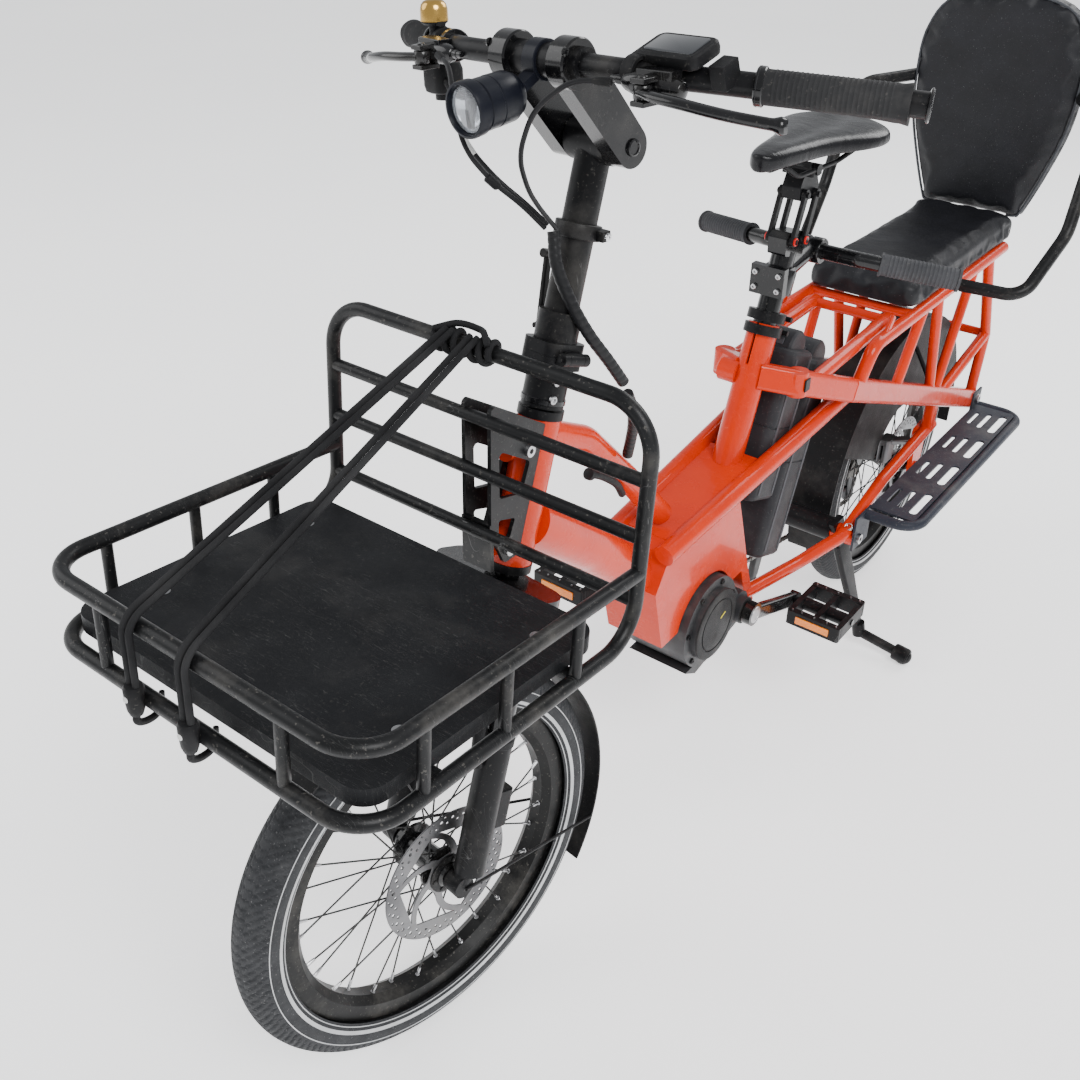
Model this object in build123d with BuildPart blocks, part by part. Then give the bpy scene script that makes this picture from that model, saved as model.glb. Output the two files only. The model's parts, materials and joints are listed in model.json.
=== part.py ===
from build123d import *
from math import cos, radians, sin, tan
import os

# Compact long-tail cargo bicycle with electric assist. All lengths in mm.
# X points to the rider's left, Y to the rear, Z up; y = 0 is the crank axle while the pieces
# are drawn, and every finished piece is moved so that the origin is on the ground at the middle.

# driving dimensions
SHIFT_Y = -5.4
TYRE_RADIUS = 262.0
TYRE_SECTION = 30.0
FRONT_AXLE_Y = -643.0
REAR_AXLE_Y = 650.0
CRANK_HEIGHT = 293.0
CRANK_LENGTH = 170.0
CRANK_ANGLE = -22.0
HEAD_ANGLE = 72.0
FORK_OFFSET = 40.0
FORK_TRAVEL = 40.0
STEER_TURN = -9.0
SEAT_ANGLE = 69.8
RACK_TILT = 4.5
RACK_HALF = 210.0
RACK_DEPTH = 372.0
RACK_TUBE = 8.0
REAR_RACK_HEIGHT = 645.0
FIT = 0.05

WHEEL_R = TYRE_RADIUS
FRONT_AXLE = (0, FRONT_AXLE_Y, WHEEL_R)
REAR_AXLE = (0, REAR_AXLE_Y, WHEEL_R)
HEAD_COS = cos(radians(HEAD_ANGLE))
HEAD_SIN = sin(radians(HEAD_ANGLE))
STEER_FOOT = (0, FRONT_AXLE_Y + FORK_OFFSET * HEAD_SIN, WHEEL_R - FORK_OFFSET * HEAD_COS)
STEER = Plane(origin=STEER_FOOT, x_dir=(1, 0, 0), z_dir=(0, HEAD_COS, HEAD_SIN))
STEER_AXIS = Axis(STEER_FOOT, (0, HEAD_COS, HEAD_SIN))
SEAT_PLANE = Plane(
    origin=(0, 18, 515),
    x_dir=(1, 0, 0),
    z_dir=(0, cos(radians(SEAT_ANGLE)), sin(radians(SEAT_ANGLE))),
)
RACK = Plane(
    origin=(0, -547, 691),
    x_dir=(1, 0, 0),
    z_dir=(0, sin(radians(RACK_TILT)), cos(radians(RACK_TILT))),
)
SIDES = (-1, 1)


def steer(x, y, z):
    """A point given in the steering axis' own frame: y is behind the axis, z along it."""
    return STEER.from_local_coords(Vector(x, y, z))


def seat(x, y, z):
    """A point given in the seat tube's own frame."""
    return SEAT_PLANE.from_local_coords(Vector(x, y, z))


def rack(x, y, z):
    """A point given in the front rack's own frame: y = 0 at the tall rear hoop."""
    return RACK.from_local_coords(Vector(x, y, z))


def side_plane(x):
    """A sketch plane whose axes are the bicycle's Y and Z, at this X."""
    return Plane(origin=(x, 0, 0), x_dir=(0, 1, 0), z_dir=(1, 0, 0))


def rod(start, end, radius, bore=0, mode=Mode.ADD):
    """A straight round bar or tube from start to end."""
    run = Vector(end) - Vector(start)
    with BuildSketch(Plane(origin=start, z_dir=run)) as section:
        Circle(radius)
        if bore:
            Circle(bore, mode=Mode.SUBTRACT)
    extrude(section.sketch, amount=run.length, mode=mode)


def bar(start, end, width, height, corner, mode=Mode.ADD):
    """A straight bar with a rounded rectangular section, width measured along X."""
    run = Vector(end) - Vector(start)
    with BuildSketch(Plane(origin=start, x_dir=(1, 0, 0), z_dir=run)) as section:
        RectangleRounded(width, height, corner)
    extrude(section.sketch, amount=run.length, mode=mode)


def bent_tube(points, radii, radius):
    """A round tube along straight runs joined by tangent arcs."""
    with BuildLine() as route:
        FilletPolyline(*points, radius=radii)
    with BuildSketch(Plane(origin=route.line @ 0, z_dir=route.line % 0)) as section:
        Circle(radius)
    sweep(section.sketch, path=route.line)


def prism(points, x_from, x_to, corner=0, mode=Mode.ADD):
    """A plate between two X positions with an outline given in Y and Z."""
    with BuildSketch(side_plane(x_from)) as outline:
        with BuildLine():
            Polyline(*points, close=True)
        make_face()
        if corner:
            fillet(outline.vertices(), corner)
    extrude(outline.sketch, amount=x_to - x_from, mode=mode)


def slab(low, high, corner=0, mode=Mode.ADD):
    """A block between two corners, with its upright edges rounded."""
    floor = Vector(low)
    size = Vector(high) - floor
    with BuildSketch(Plane(origin=floor + Vector(size.X / 2, size.Y / 2, 0))) as outline:
        if corner:
            RectangleRounded(size.X, size.Y, corner)
        else:
            Rectangle(size.X, size.Y)
    extrude(outline.sketch, amount=size.Z, mode=mode)


def arc_band(centre, inner, outer, start, end, half_width, x_from=None, mode=Mode.ADD):
    """A band round an axle, from one angle to another measured from the rear (+Y) upward."""
    low = -half_width if x_from is None else x_from
    with BuildSketch(side_plane(low)) as outline:
        with BuildLine():
            outside = CenterArc(centre, outer, start, end - start)
            inside = CenterArc(centre, inner, start, end - start)
            Line(outside @ 0, inside @ 0)
            Line(outside @ 1, inside @ 1)
        make_face()
    extrude(outline.sketch, amount=2 * half_width, mode=mode)


# ---------------------------------------------------------------- wheels


def tyre(axle):
    """A hollow tyre that is open where it meets the rim."""
    middle = TYRE_RADIUS - TYRE_SECTION
    with BuildSketch(Plane.XY.offset(axle[2])) as section:
        with Locations((0, axle[1] + middle)):
            Circle(TYRE_SECTION)
            Circle(TYRE_SECTION - 4.5, mode=Mode.SUBTRACT)
        with Locations((0, axle[1] + middle - 30)):
            Rectangle(37, 26, mode=Mode.SUBTRACT)
    revolve(section.sketch, axis=Axis(axle, (1, 0, 0)))


def rim(axle):
    """A deep box rim with two bead hooks."""
    with BuildSketch(Plane.XY.offset(axle[2])) as section:
        with BuildLine():
            Polyline(
                (-18, axle[1] + 214),
                (-18, axle[1] + 194),
                (-8, axle[1] + 186),
                (8, axle[1] + 186),
                (18, axle[1] + 194),
                (18, axle[1] + 214),
                (15, axle[1] + 214),
                (15, axle[1] + 205),
                (-15, axle[1] + 205),
                (-15, axle[1] + 214),
                close=True,
            )
        make_face()
    revolve(section.sketch, axis=Axis(axle, (1, 0, 0)))


def spokes(axle, flange, flange_radius, count):
    """Crossed spokes from the two hub flanges to the rim."""
    for number in range(count):
        side = SIDES[number % 2]
        angle = 360 / count * number
        lead = 52 if (number // 2) % 2 else -52
        foot = radians(angle + lead)
        head = radians(angle)
        rod(
            (side * flange, axle[1] + flange_radius * cos(foot), axle[2] + flange_radius * sin(foot)),
            (side * 4, axle[1] + 186.5 * cos(head), axle[2] + 186.5 * sin(head)),
            1.1,
        )


def hub(axle, left, right, flange, flange_radius, rotor_x):
    """A hub shell with two spoke flanges, a brake rotor and a bore for the axle."""
    rod((right, axle[1], axle[2]), (left, axle[1], axle[2]), 15)
    for side in SIDES:
        x = side * flange
        rod((x - 1.5, axle[1], axle[2]), (x + 1.5, axle[1], axle[2]), flange_radius + 4)
    rod((rotor_x - 0.9, axle[1], axle[2]), (rotor_x + 0.9, axle[1], axle[2]), 90, bore=73)
    for arm in range(6):
        start = radians(60 * arm)
        finish = radians(60 * arm + 34)
        bar(
            (rotor_x, axle[1] + 12 * cos(start), axle[2] + 12 * sin(start)),
            (rotor_x, axle[1] + 76 * cos(finish), axle[2] + 76 * sin(finish)),
            1.8,
            9,
            0.4,
        )
    rod((rotor_x - 3, axle[1], axle[2]), (rotor_x + 3, axle[1], axle[2]), 24)
    rod((right - 1, axle[1], axle[2]), (left + 1, axle[1], axle[2]), 6 + FIT, mode=Mode.SUBTRACT)


with BuildPart() as front_tyre:
    tyre(FRONT_AXLE)

with BuildPart() as front_rim:
    rim(FRONT_AXLE)

with BuildPart() as front_spokes:
    spokes(FRONT_AXLE, 27, 26, 32)

with BuildPart() as front_hub:
    hub(FRONT_AXLE, 46, -46, 27, 26, 38)

with BuildPart() as rear_tyre:
    tyre(REAR_AXLE)

with BuildPart() as rear_rim:
    rim(REAR_AXLE)

with BuildPart() as rear_spokes:
    spokes(REAR_AXLE, 27, 28, 36)

with BuildPart() as rear_hub:
    hub(REAR_AXLE, 65, -34, 27, 28, 42)

with BuildPart() as cassette:
    for number, radius in enumerate((64, 57, 50, 44, 38, 33, 28, 24)):
        x = -38 - 3.4 * number
        rod((x - 1.0, REAR_AXLE_Y, WHEEL_R), (x + 1.0, REAR_AXLE_Y, WHEEL_R), radius)
    rod((-65, REAR_AXLE_Y, WHEEL_R), (-34.5, REAR_AXLE_Y, WHEEL_R), 18)
    rod((-66, REAR_AXLE_Y, WHEEL_R), (-33, REAR_AXLE_Y, WHEEL_R), 6 + FIT, mode=Mode.SUBTRACT)

# ---------------------------------------------------------------- main frame

BOSS_HEIGHTS = (656.0, 765.0)
MOTOR = (-88.0, 318.0)
BATTERY_HALF = 44.0


def axis_y(z):
    """Where the steering axis is at this height."""
    return STEER_FOOT[1] + (z - STEER_FOOT[2]) / tan(radians(HEAD_ANGLE))


def beam_point(side, y):
    """The middle of a rear side beam at this Y."""
    along = (y - 240) / 620
    return (side * (85 + 7 * along), y, 584 - 252 * along)


with BuildPart() as headset_cups:
    for low, high, lip in ((378, 388, 398), (570, 560, 550)):
        rod(steer(0, 0, low), steer(0, 0, high), 26)
        rod(steer(0, 0, high), steer(0, 0, lip), 20)
    rod(steer(0, 0, 370), steer(0, 0, 580), 14.3 + FIT, mode=Mode.SUBTRACT)

SHELL_OUTLINE = (
    (-232, 442),
    (-192, 505),
    (-18, 505),
    (6, 440),
    (40, 345),
    (74, 262),
    (62, 250),
    (36, 300),
    (20, 345),
    (-205, 335),
)

SHELL_ROOM = ((-196, 350), (-216, 430), (-186, 484), (-30, 484), (-8, 440), (0, 400))

with BuildPart() as main_beam:
    prism(SHELL_OUTLINE, -46, 46)
    for side in SIDES:
        rod((side * 44, -215, 497), (side * 63, 288, 556), 15)
    prism(((-190, 492), (-190, 506), (42, 533), (42, 519)), -50, 50)
    prism(SHELL_ROOM, -41, 41, mode=Mode.SUBTRACT)
    with BuildSketch(side_plane(-60)) as motor_room:
        with Locations(MOTOR):
            Circle(77)
        with Locations((0, CRANK_HEIGHT)):
            Circle(32)
    extrude(motor_room.sketch, amount=120, mode=Mode.SUBTRACT)

with BuildPart() as front_frame:
    bent_tube(((0, -425, 757), (0, -345, 716), (0, -252, 622), (0, -160, 522)), (70, 70), 17)
    bent_tube(((0, -455, 655), (0, -330, 556), (0, -196, 428)), (120,), 31)
    prism(SHELL_OUTLINE, -60, 60, mode=Mode.SUBTRACT)
    rod(steer(0, 0, 388), steer(0, 0, 560), 25)
    for height in BOSS_HEIGHTS:
        rod((0, axis_y(height), height), (0, axis_y(height) - 58, height), 13)
    rod(steer(0, 0, 380), steer(0, 0, 570), 20, mode=Mode.SUBTRACT)
    add(main_beam.part, mode=Mode.SUBTRACT)

with BuildPart() as seat_tube:
    rod(seat(0, 0, 6), seat(0, 0, 218), 22.5)
    rod((-14, 58, 650), (-42, 58, 650), 17)
    rod(seat(0, 0, 30), seat(0, 0, 220), 17 + FIT, mode=Mode.SUBTRACT)
    slab((-2, 50, 670), (2, 90, 730), mode=Mode.SUBTRACT)
    add(main_beam.part, mode=Mode.SUBTRACT)

with BuildPart() as seat_collars:
    for low, high, bore in ((202, 216, 22.5), (222, 236, 17 + FIT)):
        rod(seat(0, 0, low), seat(0, 0, high), 27.5, bore=bore)
        for side in SIDES:
            rod(seat(side * 9, 24.5, low + 7), seat(side * 5, 42, low + 7), 6)
        rod(seat(-22, 36, low + 7), seat(24, 36, low + 7), 4)

with BuildPart() as rear_beams:
    for side in SIDES:
        bar((side * 14, 63, 652), (side * 62, 98, 642), 26, 38, 6)
        rod((side * 61, 97, 624), (side * 61, 97, 661), 15)
        bar((side * 61, 96, 643), (side * 85, 242, 583), 26, 38, 8)
        bar(beam_point(side, 236), beam_point(side, 872), 26, 38, 8)
    rod(seat(0, 0, 0), seat(0, 0, 230), 22.5, mode=Mode.SUBTRACT)
    add(seat_tube.part, mode=Mode.SUBTRACT)
    add(main_beam.part, mode=Mode.SUBTRACT)

with BuildPart() as rear_stays:
    for side in SIDES:
        bent_tube(
            (
                (side * 38, 50, 282),
                (side * 60, 200, 270),
                (side * 90, 304, 284),
                (side * 88, 450, 325),
                (side * 88, 668, 352),
            ),
            (90, 90, 120),
            11,
        )
        prism(((622, 352), (676, 358), (672, 246), (634, 246)), *sorted((side * 70, side * 79)), corner=8)
        bar((side * 88, 645, 345), beam_point(side, 645), 20, 24, 6)
    rod((-80, REAR_AXLE_Y, WHEEL_R), (80, REAR_AXLE_Y, WHEEL_R), 6)
    for side in SIDES:
        rod((side * 66.5, REAR_AXLE_Y, WHEEL_R), (side * 84, REAR_AXLE_Y, WHEEL_R), 11)
    rod((-104, 330, 272), (104, 330, 272), 16)
    add(main_beam.part, mode=Mode.SUBTRACT)
    add(rear_beams.part, mode=Mode.SUBTRACT)

with BuildPart() as rack_rails:
    for side in SIDES:
        bent_tube(
            (
                beam_point(side, 262),
                (side * 92, 292, REAR_RACK_HEIGHT - 4),
                (side * 92, 862, REAR_RACK_HEIGHT),
            ),
            (30,),
            11,
        )
        bar(
            (side * 92, 330, REAR_RACK_HEIGHT - 4),
            (side * 92, 352, REAR_RACK_HEIGHT + 26),
            7,
            14,
            3,
        )
    add(rear_beams.part, mode=Mode.SUBTRACT)

with BuildPart() as rack_struts:
    for side in SIDES:
        top = REAR_RACK_HEIGHT
        corner = (side * 94, 868, 470)
        rod((side * 67, 128, 631), (side * 64, 404, top - 2), 11)
        rod(beam_point(side, 430), (side * 92, 490, top), 9)
        rod(beam_point(side, 612), (side * 92, 552, top), 9)
        rod(beam_point(side, 636), (side * 92, 716, top), 9)
        rod((side * 92, 790, top), corner, 10)
        rod(beam_point(side, 664), corner, 10)
        rod(corner, beam_point(side, 862), 10)
    for y, height, radius in ((440, top, 8), (640, top, 8), (850, top, 9), (868, 470, 8)):
        rod((-89, y, height), (89, y, height), radius)
    rod((-66, 396, top - 2), (66, 396, top - 2), 8)
    add(rear_beams.part, mode=Mode.SUBTRACT)
    add(rack_rails.part, mode=Mode.SUBTRACT)

# ---------------------------------------------------------------- drive and power

with BuildPart() as motor:
    with BuildSketch(side_plane(-42)) as body:
        with Locations(MOTOR):
            Circle(73)
        with Locations((0, CRANK_HEIGHT)):
            Circle(28)
        with BuildLine():
            Polyline((-88, 262), (-150, 258), (-120, 240), (4, 266), (10, 300), (-40, 372), close=True)
        make_face()
    extrude(body.sketch, amount=100)
    rod((58, *MOTOR), (68, *MOTOR), 57)
    rod((58, 0, CRANK_HEIGHT), (70, 0, CRANK_HEIGHT), 22)
    rod((-60, 0, CRANK_HEIGHT), (80, 0, CRANK_HEIGHT), 10 + FIT, mode=Mode.SUBTRACT)

with BuildPart() as batteries:
    for offset, low, high in ((72, -46, 188), (161, -150, 176)):
        with BuildSketch(SEAT_PLANE.offset(low)) as pack:
            with Locations((0, offset)):
                RectangleRounded(2 * BATTERY_HALF, 84, 16)
        extrude(pack.sketch, amount=high - low)
        rod(seat(-30, offset, high), seat(30, offset, high), 28)
    add(main_beam.part, mode=Mode.SUBTRACT)

with BuildPart() as chain:
    for grow, mode in ((8, Mode.ADD), (0, Mode.SUBTRACT)):
        with BuildSketch(side_plane(-54)) as loop:
            for centre, radius in (
                ((0, CRANK_HEIGHT), 36.5),
                ((REAR_AXLE_Y, WHEEL_R), 64.5),
                ((664, 150), 19),
            ):
                with Locations(centre):
                    Circle(radius + grow)
            make_hull()
        extrude(loop.sketch, amount=7, mode=mode)

with BuildPart() as cranks:
    pedal_y = CRANK_LENGTH * cos(radians(CRANK_ANGLE))
    pedal_z = CRANK_LENGTH * sin(radians(CRANK_ANGLE))
    rod((-86, 0, CRANK_HEIGHT), (86, 0, CRANK_HEIGHT), 10)
    for side in SIDES:
        end = (side * 80, side * pedal_y, CRANK_HEIGHT + side * pedal_z)
        bar((side * 80, 0, CRANK_HEIGHT), end, 13, 26, 5)
        rod((side * 73.5, 0, CRANK_HEIGHT), (side * 88, 0, CRANK_HEIGHT), 19)
        rod((side * 73.5, end[1], end[2]), (side * 87, end[1], end[2]), 14)
        rod((side * 86, end[1], end[2]), (side * 186, end[1], end[2]), 5)
    rod((-52, 0, CRANK_HEIGHT), (-49, 0, CRANK_HEIGHT), 36)
    rod((-60, 0, CRANK_HEIGHT), (-43, 0, CRANK_HEIGHT), 16)


def pedal(side):
    """A platform pedal with two side frames and a centre barrel."""
    y = side * pedal_y
    z = CRANK_HEIGHT + side * pedal_z
    near, far = sorted((side * 92, side * 184))
    rod((near, y, z), (far, y, z), 11)
    for across in SIDES:
        slab((near, y + across * 44 - 6, z - 13), (far, y + across * 44 + 6, z + 13), 4)
    for x in (near, far - 9, (near + far) / 2 - 4):
        slab((x, y - 42, z - 12), (x + 9, y + 42, z + 12), 3)
    rod((near - 2, y, z), (far + 2, y, z), 5 + FIT, mode=Mode.SUBTRACT)


with BuildPart() as pedal_left:
    pedal(1)

with BuildPart() as pedal_right:
    pedal(-1)

with BuildPart() as derailleur_and_caliper:
    for y, z in ((664, 150), (652, 190)):
        rod((-54, y, z), (-47, y, z), 17.5)
        rod((-60, y, z), (-42, y, z), 3)
    prism(((654, 136), (676, 138), (664, 204), (640, 200)), -59, -56, corner=4)
    prism(((654, 136), (676, 138), (664, 204), (640, 200)), -45, -42, corner=4)
    rod((-72, 652, 212), (-60, 652, 192), 12)
    bar((-75, 668, 252), (-70, 654, 206), 10, 18, 4)
    slab((33, 556, 300), (53, 590, 346), 5)
    bar((44, 575, 338), (80, 590, 346), 14, 12, 3)
    slab((40.2, 540, 290), (43.8, 600, 335), mode=Mode.SUBTRACT)
    add(rear_stays.part, mode=Mode.SUBTRACT)

with BuildPart() as rear_fender:
    arc_band(REAR_AXLE[1:], 284.5, 287, -6, 196, 38)
    for side in SIDES:
        low = min(side * 36, side * 38)
        arc_band(REAR_AXLE[1:], 128, 286, 24, 156, 1, x_from=low)
        rod((side * 38, 650, 500), beam_point(side, 650), 4)
    add(rear_beams.part, mode=Mode.SUBTRACT)
    add(rear_stays.part, mode=Mode.SUBTRACT)
    add(rack_struts.part, mode=Mode.SUBTRACT)

# ---------------------------------------------------------------- footplates and stand

with BuildPart() as footplates:
    for side in SIDES:
        inner, outer = side * 106, side * 186
        low, high = sorted((inner, outer))
        bent_tube(
            ((inner, 352, 311), (side * 194, 352, 311), (side * 194, 884, 311), (inner, 884, 311)),
            (38, 38),
            9,
        )
        slab((low, 366, 315), (high, 870, 319), 4)
        near, far = sorted((side * 104, side * 108))
        slab((near, 312, 254), (far, 372, 319))
        slab((near, 840, 300), (far, 884, 352))
        for row in range(4):
            y = 430 + 126 * row
            for across, width, length in ((124, 7, 58), (146, 9, 70), (172, 14, 84)):
                with BuildSketch(Plane(origin=(side * across, y, 310))) as slot:
                    SlotOverall(length, width, rotation=90)
                extrude(slot.sketch, amount=12, mode=Mode.SUBTRACT)
    add(rear_beams.part, mode=Mode.SUBTRACT)

with BuildPart() as kickstand:
    rod((-62, 330, 272), (62, 330, 272), 21)
    for side in SIDES:
        with BuildSketch(Plane.XY.offset(292)) as root:
            with Locations((side * 64, 330)):
                RectangleRounded(12, 42, 4)
        with BuildSketch(Plane.XY.offset(50)) as ankle:
            with Locations((side * 112, 396)):
                RectangleRounded(12, 22, 4)
        loft((root.sketch.face(), ankle.sketch.face()))
        rod((side * 113, 398, 52), (side * 118, 400, 26), 12)
        rod((side * 112, 400, 32), (side * 200, 402, 18), 9)
        with Locations((side * 206, 402, 16)):
            Sphere(16)
    rod((-130, 330, 272), (130, 330, 272), 16 + FIT, mode=Mode.SUBTRACT)

# ---------------------------------------------------------------- front fork

with BuildPart() as fork_crown:
    with BuildSketch(STEER.offset(346)) as crown:
        with Locations((0, -16)):
            RectangleRounded(170, 66, 24)
    extrude(crown.sketch, amount=26)
    for side in SIDES:
        rod(steer(side * 66, -32, 146), steer(side * 66, -32, 371), 15)
    rod(steer(0, 0, 350), steer(0, 0, 604), 14.3)

with BuildPart() as fork_lowers:
    for side in SIDES:
        rod(steer(side * 66, -32, 20), steer(side * 66, -32, 200), 19)
        rod(steer(side * 65, -33, 28), steer(side * 60, -40, -4), 12)
        rod(steer(side * 49, -40, 0), steer(side * 72, -40, 0), 14)
        rod(steer(side * 66, -57, 168), steer(side * 52, -57, 286), 8)
    rod(steer(-52, -57, 286), steer(52, -57, 286), 8)
    rod(steer(-60, -40, 0), steer(60, -40, 0), 6)
    with BuildSketch(STEER.offset(56)) as caliper:
        with Locations((42, 14)):
            RectangleRounded(26, 34, 6)
    extrude(caliper.sketch, amount=50)
    bar(steer(52, -2, 92), steer(60, -24, 92), 12, 20, 3)
    for side in SIDES:
        rod(steer(side * 66, -32, 95), steer(side * 66, -32, 201), 15 + FIT, mode=Mode.SUBTRACT)
    rod((36.2, *FRONT_AXLE[1:]), (39.8, *FRONT_AXLE[1:]), 93, bore=20, mode=Mode.SUBTRACT)

with BuildPart() as front_fender:
    arc_band(FRONT_AXLE[1:], 271, 273.5, -34, 128, 31)
    for side in SIDES:
        rod(
            (side * 75, FRONT_AXLE_Y, WHEEL_R),
            (side * 30, FRONT_AXLE_Y + 272 * cos(radians(-20)), WHEEL_R + 272 * sin(radians(-20))),
            2,
        )
    add(fork_lowers.part, mode=Mode.SUBTRACT)

# ---------------------------------------------------------------- handlepost and stem

FOLD_Z = 631.0
STEM_PIVOT = (-341.0, 1062.0)
BAR_AT = (-415.0, 1150.0)

with BuildPart() as post_base:
    rod(steer(0, 0, 572), steer(0, 0, 622), 24)
    with BuildSketch(STEER.offset(616)) as flange:
        RectangleRounded(50, 56, 12)
    extrude(flange.sketch, amount=FOLD_Z - 616)
    for y in (-19, 11):
        rod(steer(33, y, FOLD_Z), steer(33, y + 8, FOLD_Z), 7)
        with BuildSketch(STEER.offset(FOLD_Z - 7)) as lug:
            with Locations((27, y + 4)):
                Rectangle(14, 8)
        extrude(lug.sketch, amount=7)
    rod(steer(33, -22, FOLD_Z), steer(33, 22, FOLD_Z), 3)
    rod(steer(0, 0, 560), steer(0, 0, 604), 14.3, mode=Mode.SUBTRACT)

with BuildPart() as post_upper:
    with BuildSketch(STEER.offset(FOLD_Z + 0.3)) as flange:
        RectangleRounded(50, 56, 12)
    extrude(flange.sketch, amount=14)
    rod(steer(0, 0, FOLD_Z + 10), steer(0, 0, FOLD_Z + 46), 24)
    rod(steer(0, 0, FOLD_Z + 40), steer(0, 0, 846), 19)
    rod((-27, *STEM_PIVOT), (27, *STEM_PIVOT), 22)
    rod(steer(0, 0, 755), steer(0, 0, 771), 24)
    with BuildSketch(STEER.offset(FOLD_Z + 0.3)) as lug:
        with Locations((27, 0)):
            Rectangle(14, 21)
    extrude(lug.sketch, amount=7)
    rod(steer(33, -10.5, FOLD_Z), steer(33, 10.5, FOLD_Z), 7)
    rod(steer(33, -11, FOLD_Z), steer(33, 11, FOLD_Z), 3 + FIT, mode=Mode.SUBTRACT)
    rod((-60, *STEM_PIVOT), (60, *STEM_PIVOT), 8 + FIT, mode=Mode.SUBTRACT)
    with BuildSketch(STEER.offset(FOLD_Z + 16)) as lever_room:
        with Locations((-25, 0)):
            Rectangle(16, 10)
    extrude(lever_room.sketch, amount=18, mode=Mode.SUBTRACT)
    rod(steer(-24, -12, FOLD_Z + 24), steer(-24, 12, FOLD_Z + 24), 3)

with BuildPart() as latch_lever:
    rod(steer(-24, -4.5, FOLD_Z + 24), steer(-24, 4.5, FOLD_Z + 24), 6.5)
    bar(steer(-27, 0, FOLD_Z + 24), steer(-36, 0, FOLD_Z + 104), 6, 9, 2)
    rod(steer(-36, -8, FOLD_Z + 100), steer(-36, 8, FOLD_Z + 100), 5)
    rod(steer(-24, -5, FOLD_Z + 24), steer(-24, 5, FOLD_Z + 24), 3 + FIT, mode=Mode.SUBTRACT)

with BuildPart() as stem_arms:
    for side in SIDES:
        near, far = sorted((side * 29, side * 51))
        with BuildSketch(side_plane(near)) as arm:
            for centre, radius in ((STEM_PIVOT, 21), (BAR_AT, 22)):
                with Locations(centre):
                    Circle(radius)
            make_hull()
            with Locations(BAR_AT):
                Circle(15.9, mode=Mode.SUBTRACT)
        extrude(arm.sketch, amount=far - near)
    rod((-51, *STEM_PIVOT), (51, *STEM_PIVOT), 8)

BAR_SWEEP = 112.0
BAR_POINTS = (
    (-345, BAR_AT[0] + BAR_SWEEP, 1132),
    (-112, *BAR_AT),
    (112, *BAR_AT),
    (345, BAR_AT[0] + BAR_SWEEP, 1132),
)

with BuildPart() as handlebar:
    bent_tube(BAR_POINTS, (70, 70), 11.1)
    rod((-60, *BAR_AT), (60, *BAR_AT), 15.9)


def bar_at(x):
    """The middle of the handlebar at this X, outside its bends."""
    along = (abs(x) - 112) / 233
    return (x, BAR_AT[0] + BAR_SWEEP * along, BAR_AT[1] - 18 * along)


with BuildPart() as grips:
    for side in SIDES:
        rod(bar_at(side * 218), bar_at(side * 346), 16.5)
        rod(bar_at(side * 336), bar_at(side * 350), 18.5)
        rod(bar_at(side * 216), bar_at(side * 345), 11.1, mode=Mode.SUBTRACT)


def lever_pivot(side):
    """Where a brake lever turns on its clamp."""
    return Vector(*bar_at(side * 152)) + Vector(0, -44, -6)


with BuildPart() as bar_controls:
    for side in SIDES:
        rod(bar_at(side * 146), bar_at(side * 160), 16)
        pivot = lever_pivot(side)
        rod(pivot + Vector(side * 30, 20, 0), pivot + Vector(-side * 34, 14, 4), 10)
        rod(pivot + Vector(0, 44, 6), pivot + Vector(0, 16, 2), 9)
        for low, high in ((-12, -7), (7, 12)):
            slab(pivot + Vector(-8, -8, low), pivot + Vector(8, 16, high), 3)
        rod(pivot - Vector(0, 0, 12), pivot + Vector(0, 0, 12), 3)
    rod(bar_at(114), bar_at(128), 15.5)
    slab((112, -412, 1163), (184, -360, 1177), 8)
    slab((114, -410, 1155), (128, -396, 1165), 3)
    rod(bar_at(-182), bar_at(-196), 15.5)
    slab((-206, -402, 1094), (-172, -366, 1128), 8)
    rod((-189, -384, 1080), (-189, -384, 1100), 4)
    rod(bar_at(-204), bar_at(-212), 14.5)
    rod((-208, -372, 1150), (-208, -372, 1168), 5)
    rod((-208, -372, 1166), (-208, -372, 1172), 24)
    with Locations((-208, -372, 1172)):
        Sphere(24, arc_size1=0, arc_size2=90)
    add(handlebar.part, mode=Mode.SUBTRACT)


with BuildPart() as brake_lever_left:
    pivot = lever_pivot(1)
    blade = [pivot + Vector(*offset) for offset in ((4, -1, 0), (46, -10, -2), (132, 26, -16))]
    rod(pivot - Vector(0, 0, 6.5), pivot + Vector(0, 0, 6.5), 7)
    bent_tube(blade, (60,), 5)
    with Locations(blade[-1]):
        Sphere(7)
    rod(pivot - Vector(0, 0, 8), pivot + Vector(0, 0, 8), 3 + FIT, mode=Mode.SUBTRACT)

with BuildPart() as brake_lever_right:
    mirror(brake_lever_left.part, about=Plane.YZ)

with BuildPart() as shift_lever:
    rod((-189, -384, 1087), (-189, -384, 1092), 10)
    bar((-189, -380, 1089.5), (-168, -346, 1086), 16, 4, 1.5)
    rod((-189, -384, 1079), (-189, -384, 1100), 4 + FIT, mode=Mode.SUBTRACT)

with BuildPart() as headlight:
    rod((0, -512, 1118), (0, -452, 1124), 24)
    rod((0, -516, 1117.6), (0, -511, 1118), 26)
    bar((0, -456, 1124), (0, -424, 1140), 16, 10, 3)
    rod((-30, *BAR_AT), (30, *BAR_AT), 15.9, mode=Mode.SUBTRACT)
    with BuildSketch(side_plane(-9)) as ring:
        with Locations(BAR_AT):
            Circle(19)
            Circle(15.9, mode=Mode.SUBTRACT)
    extrude(ring.sketch, amount=18)


# ---------------------------------------------------------------- cables held by the bicycle


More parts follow.
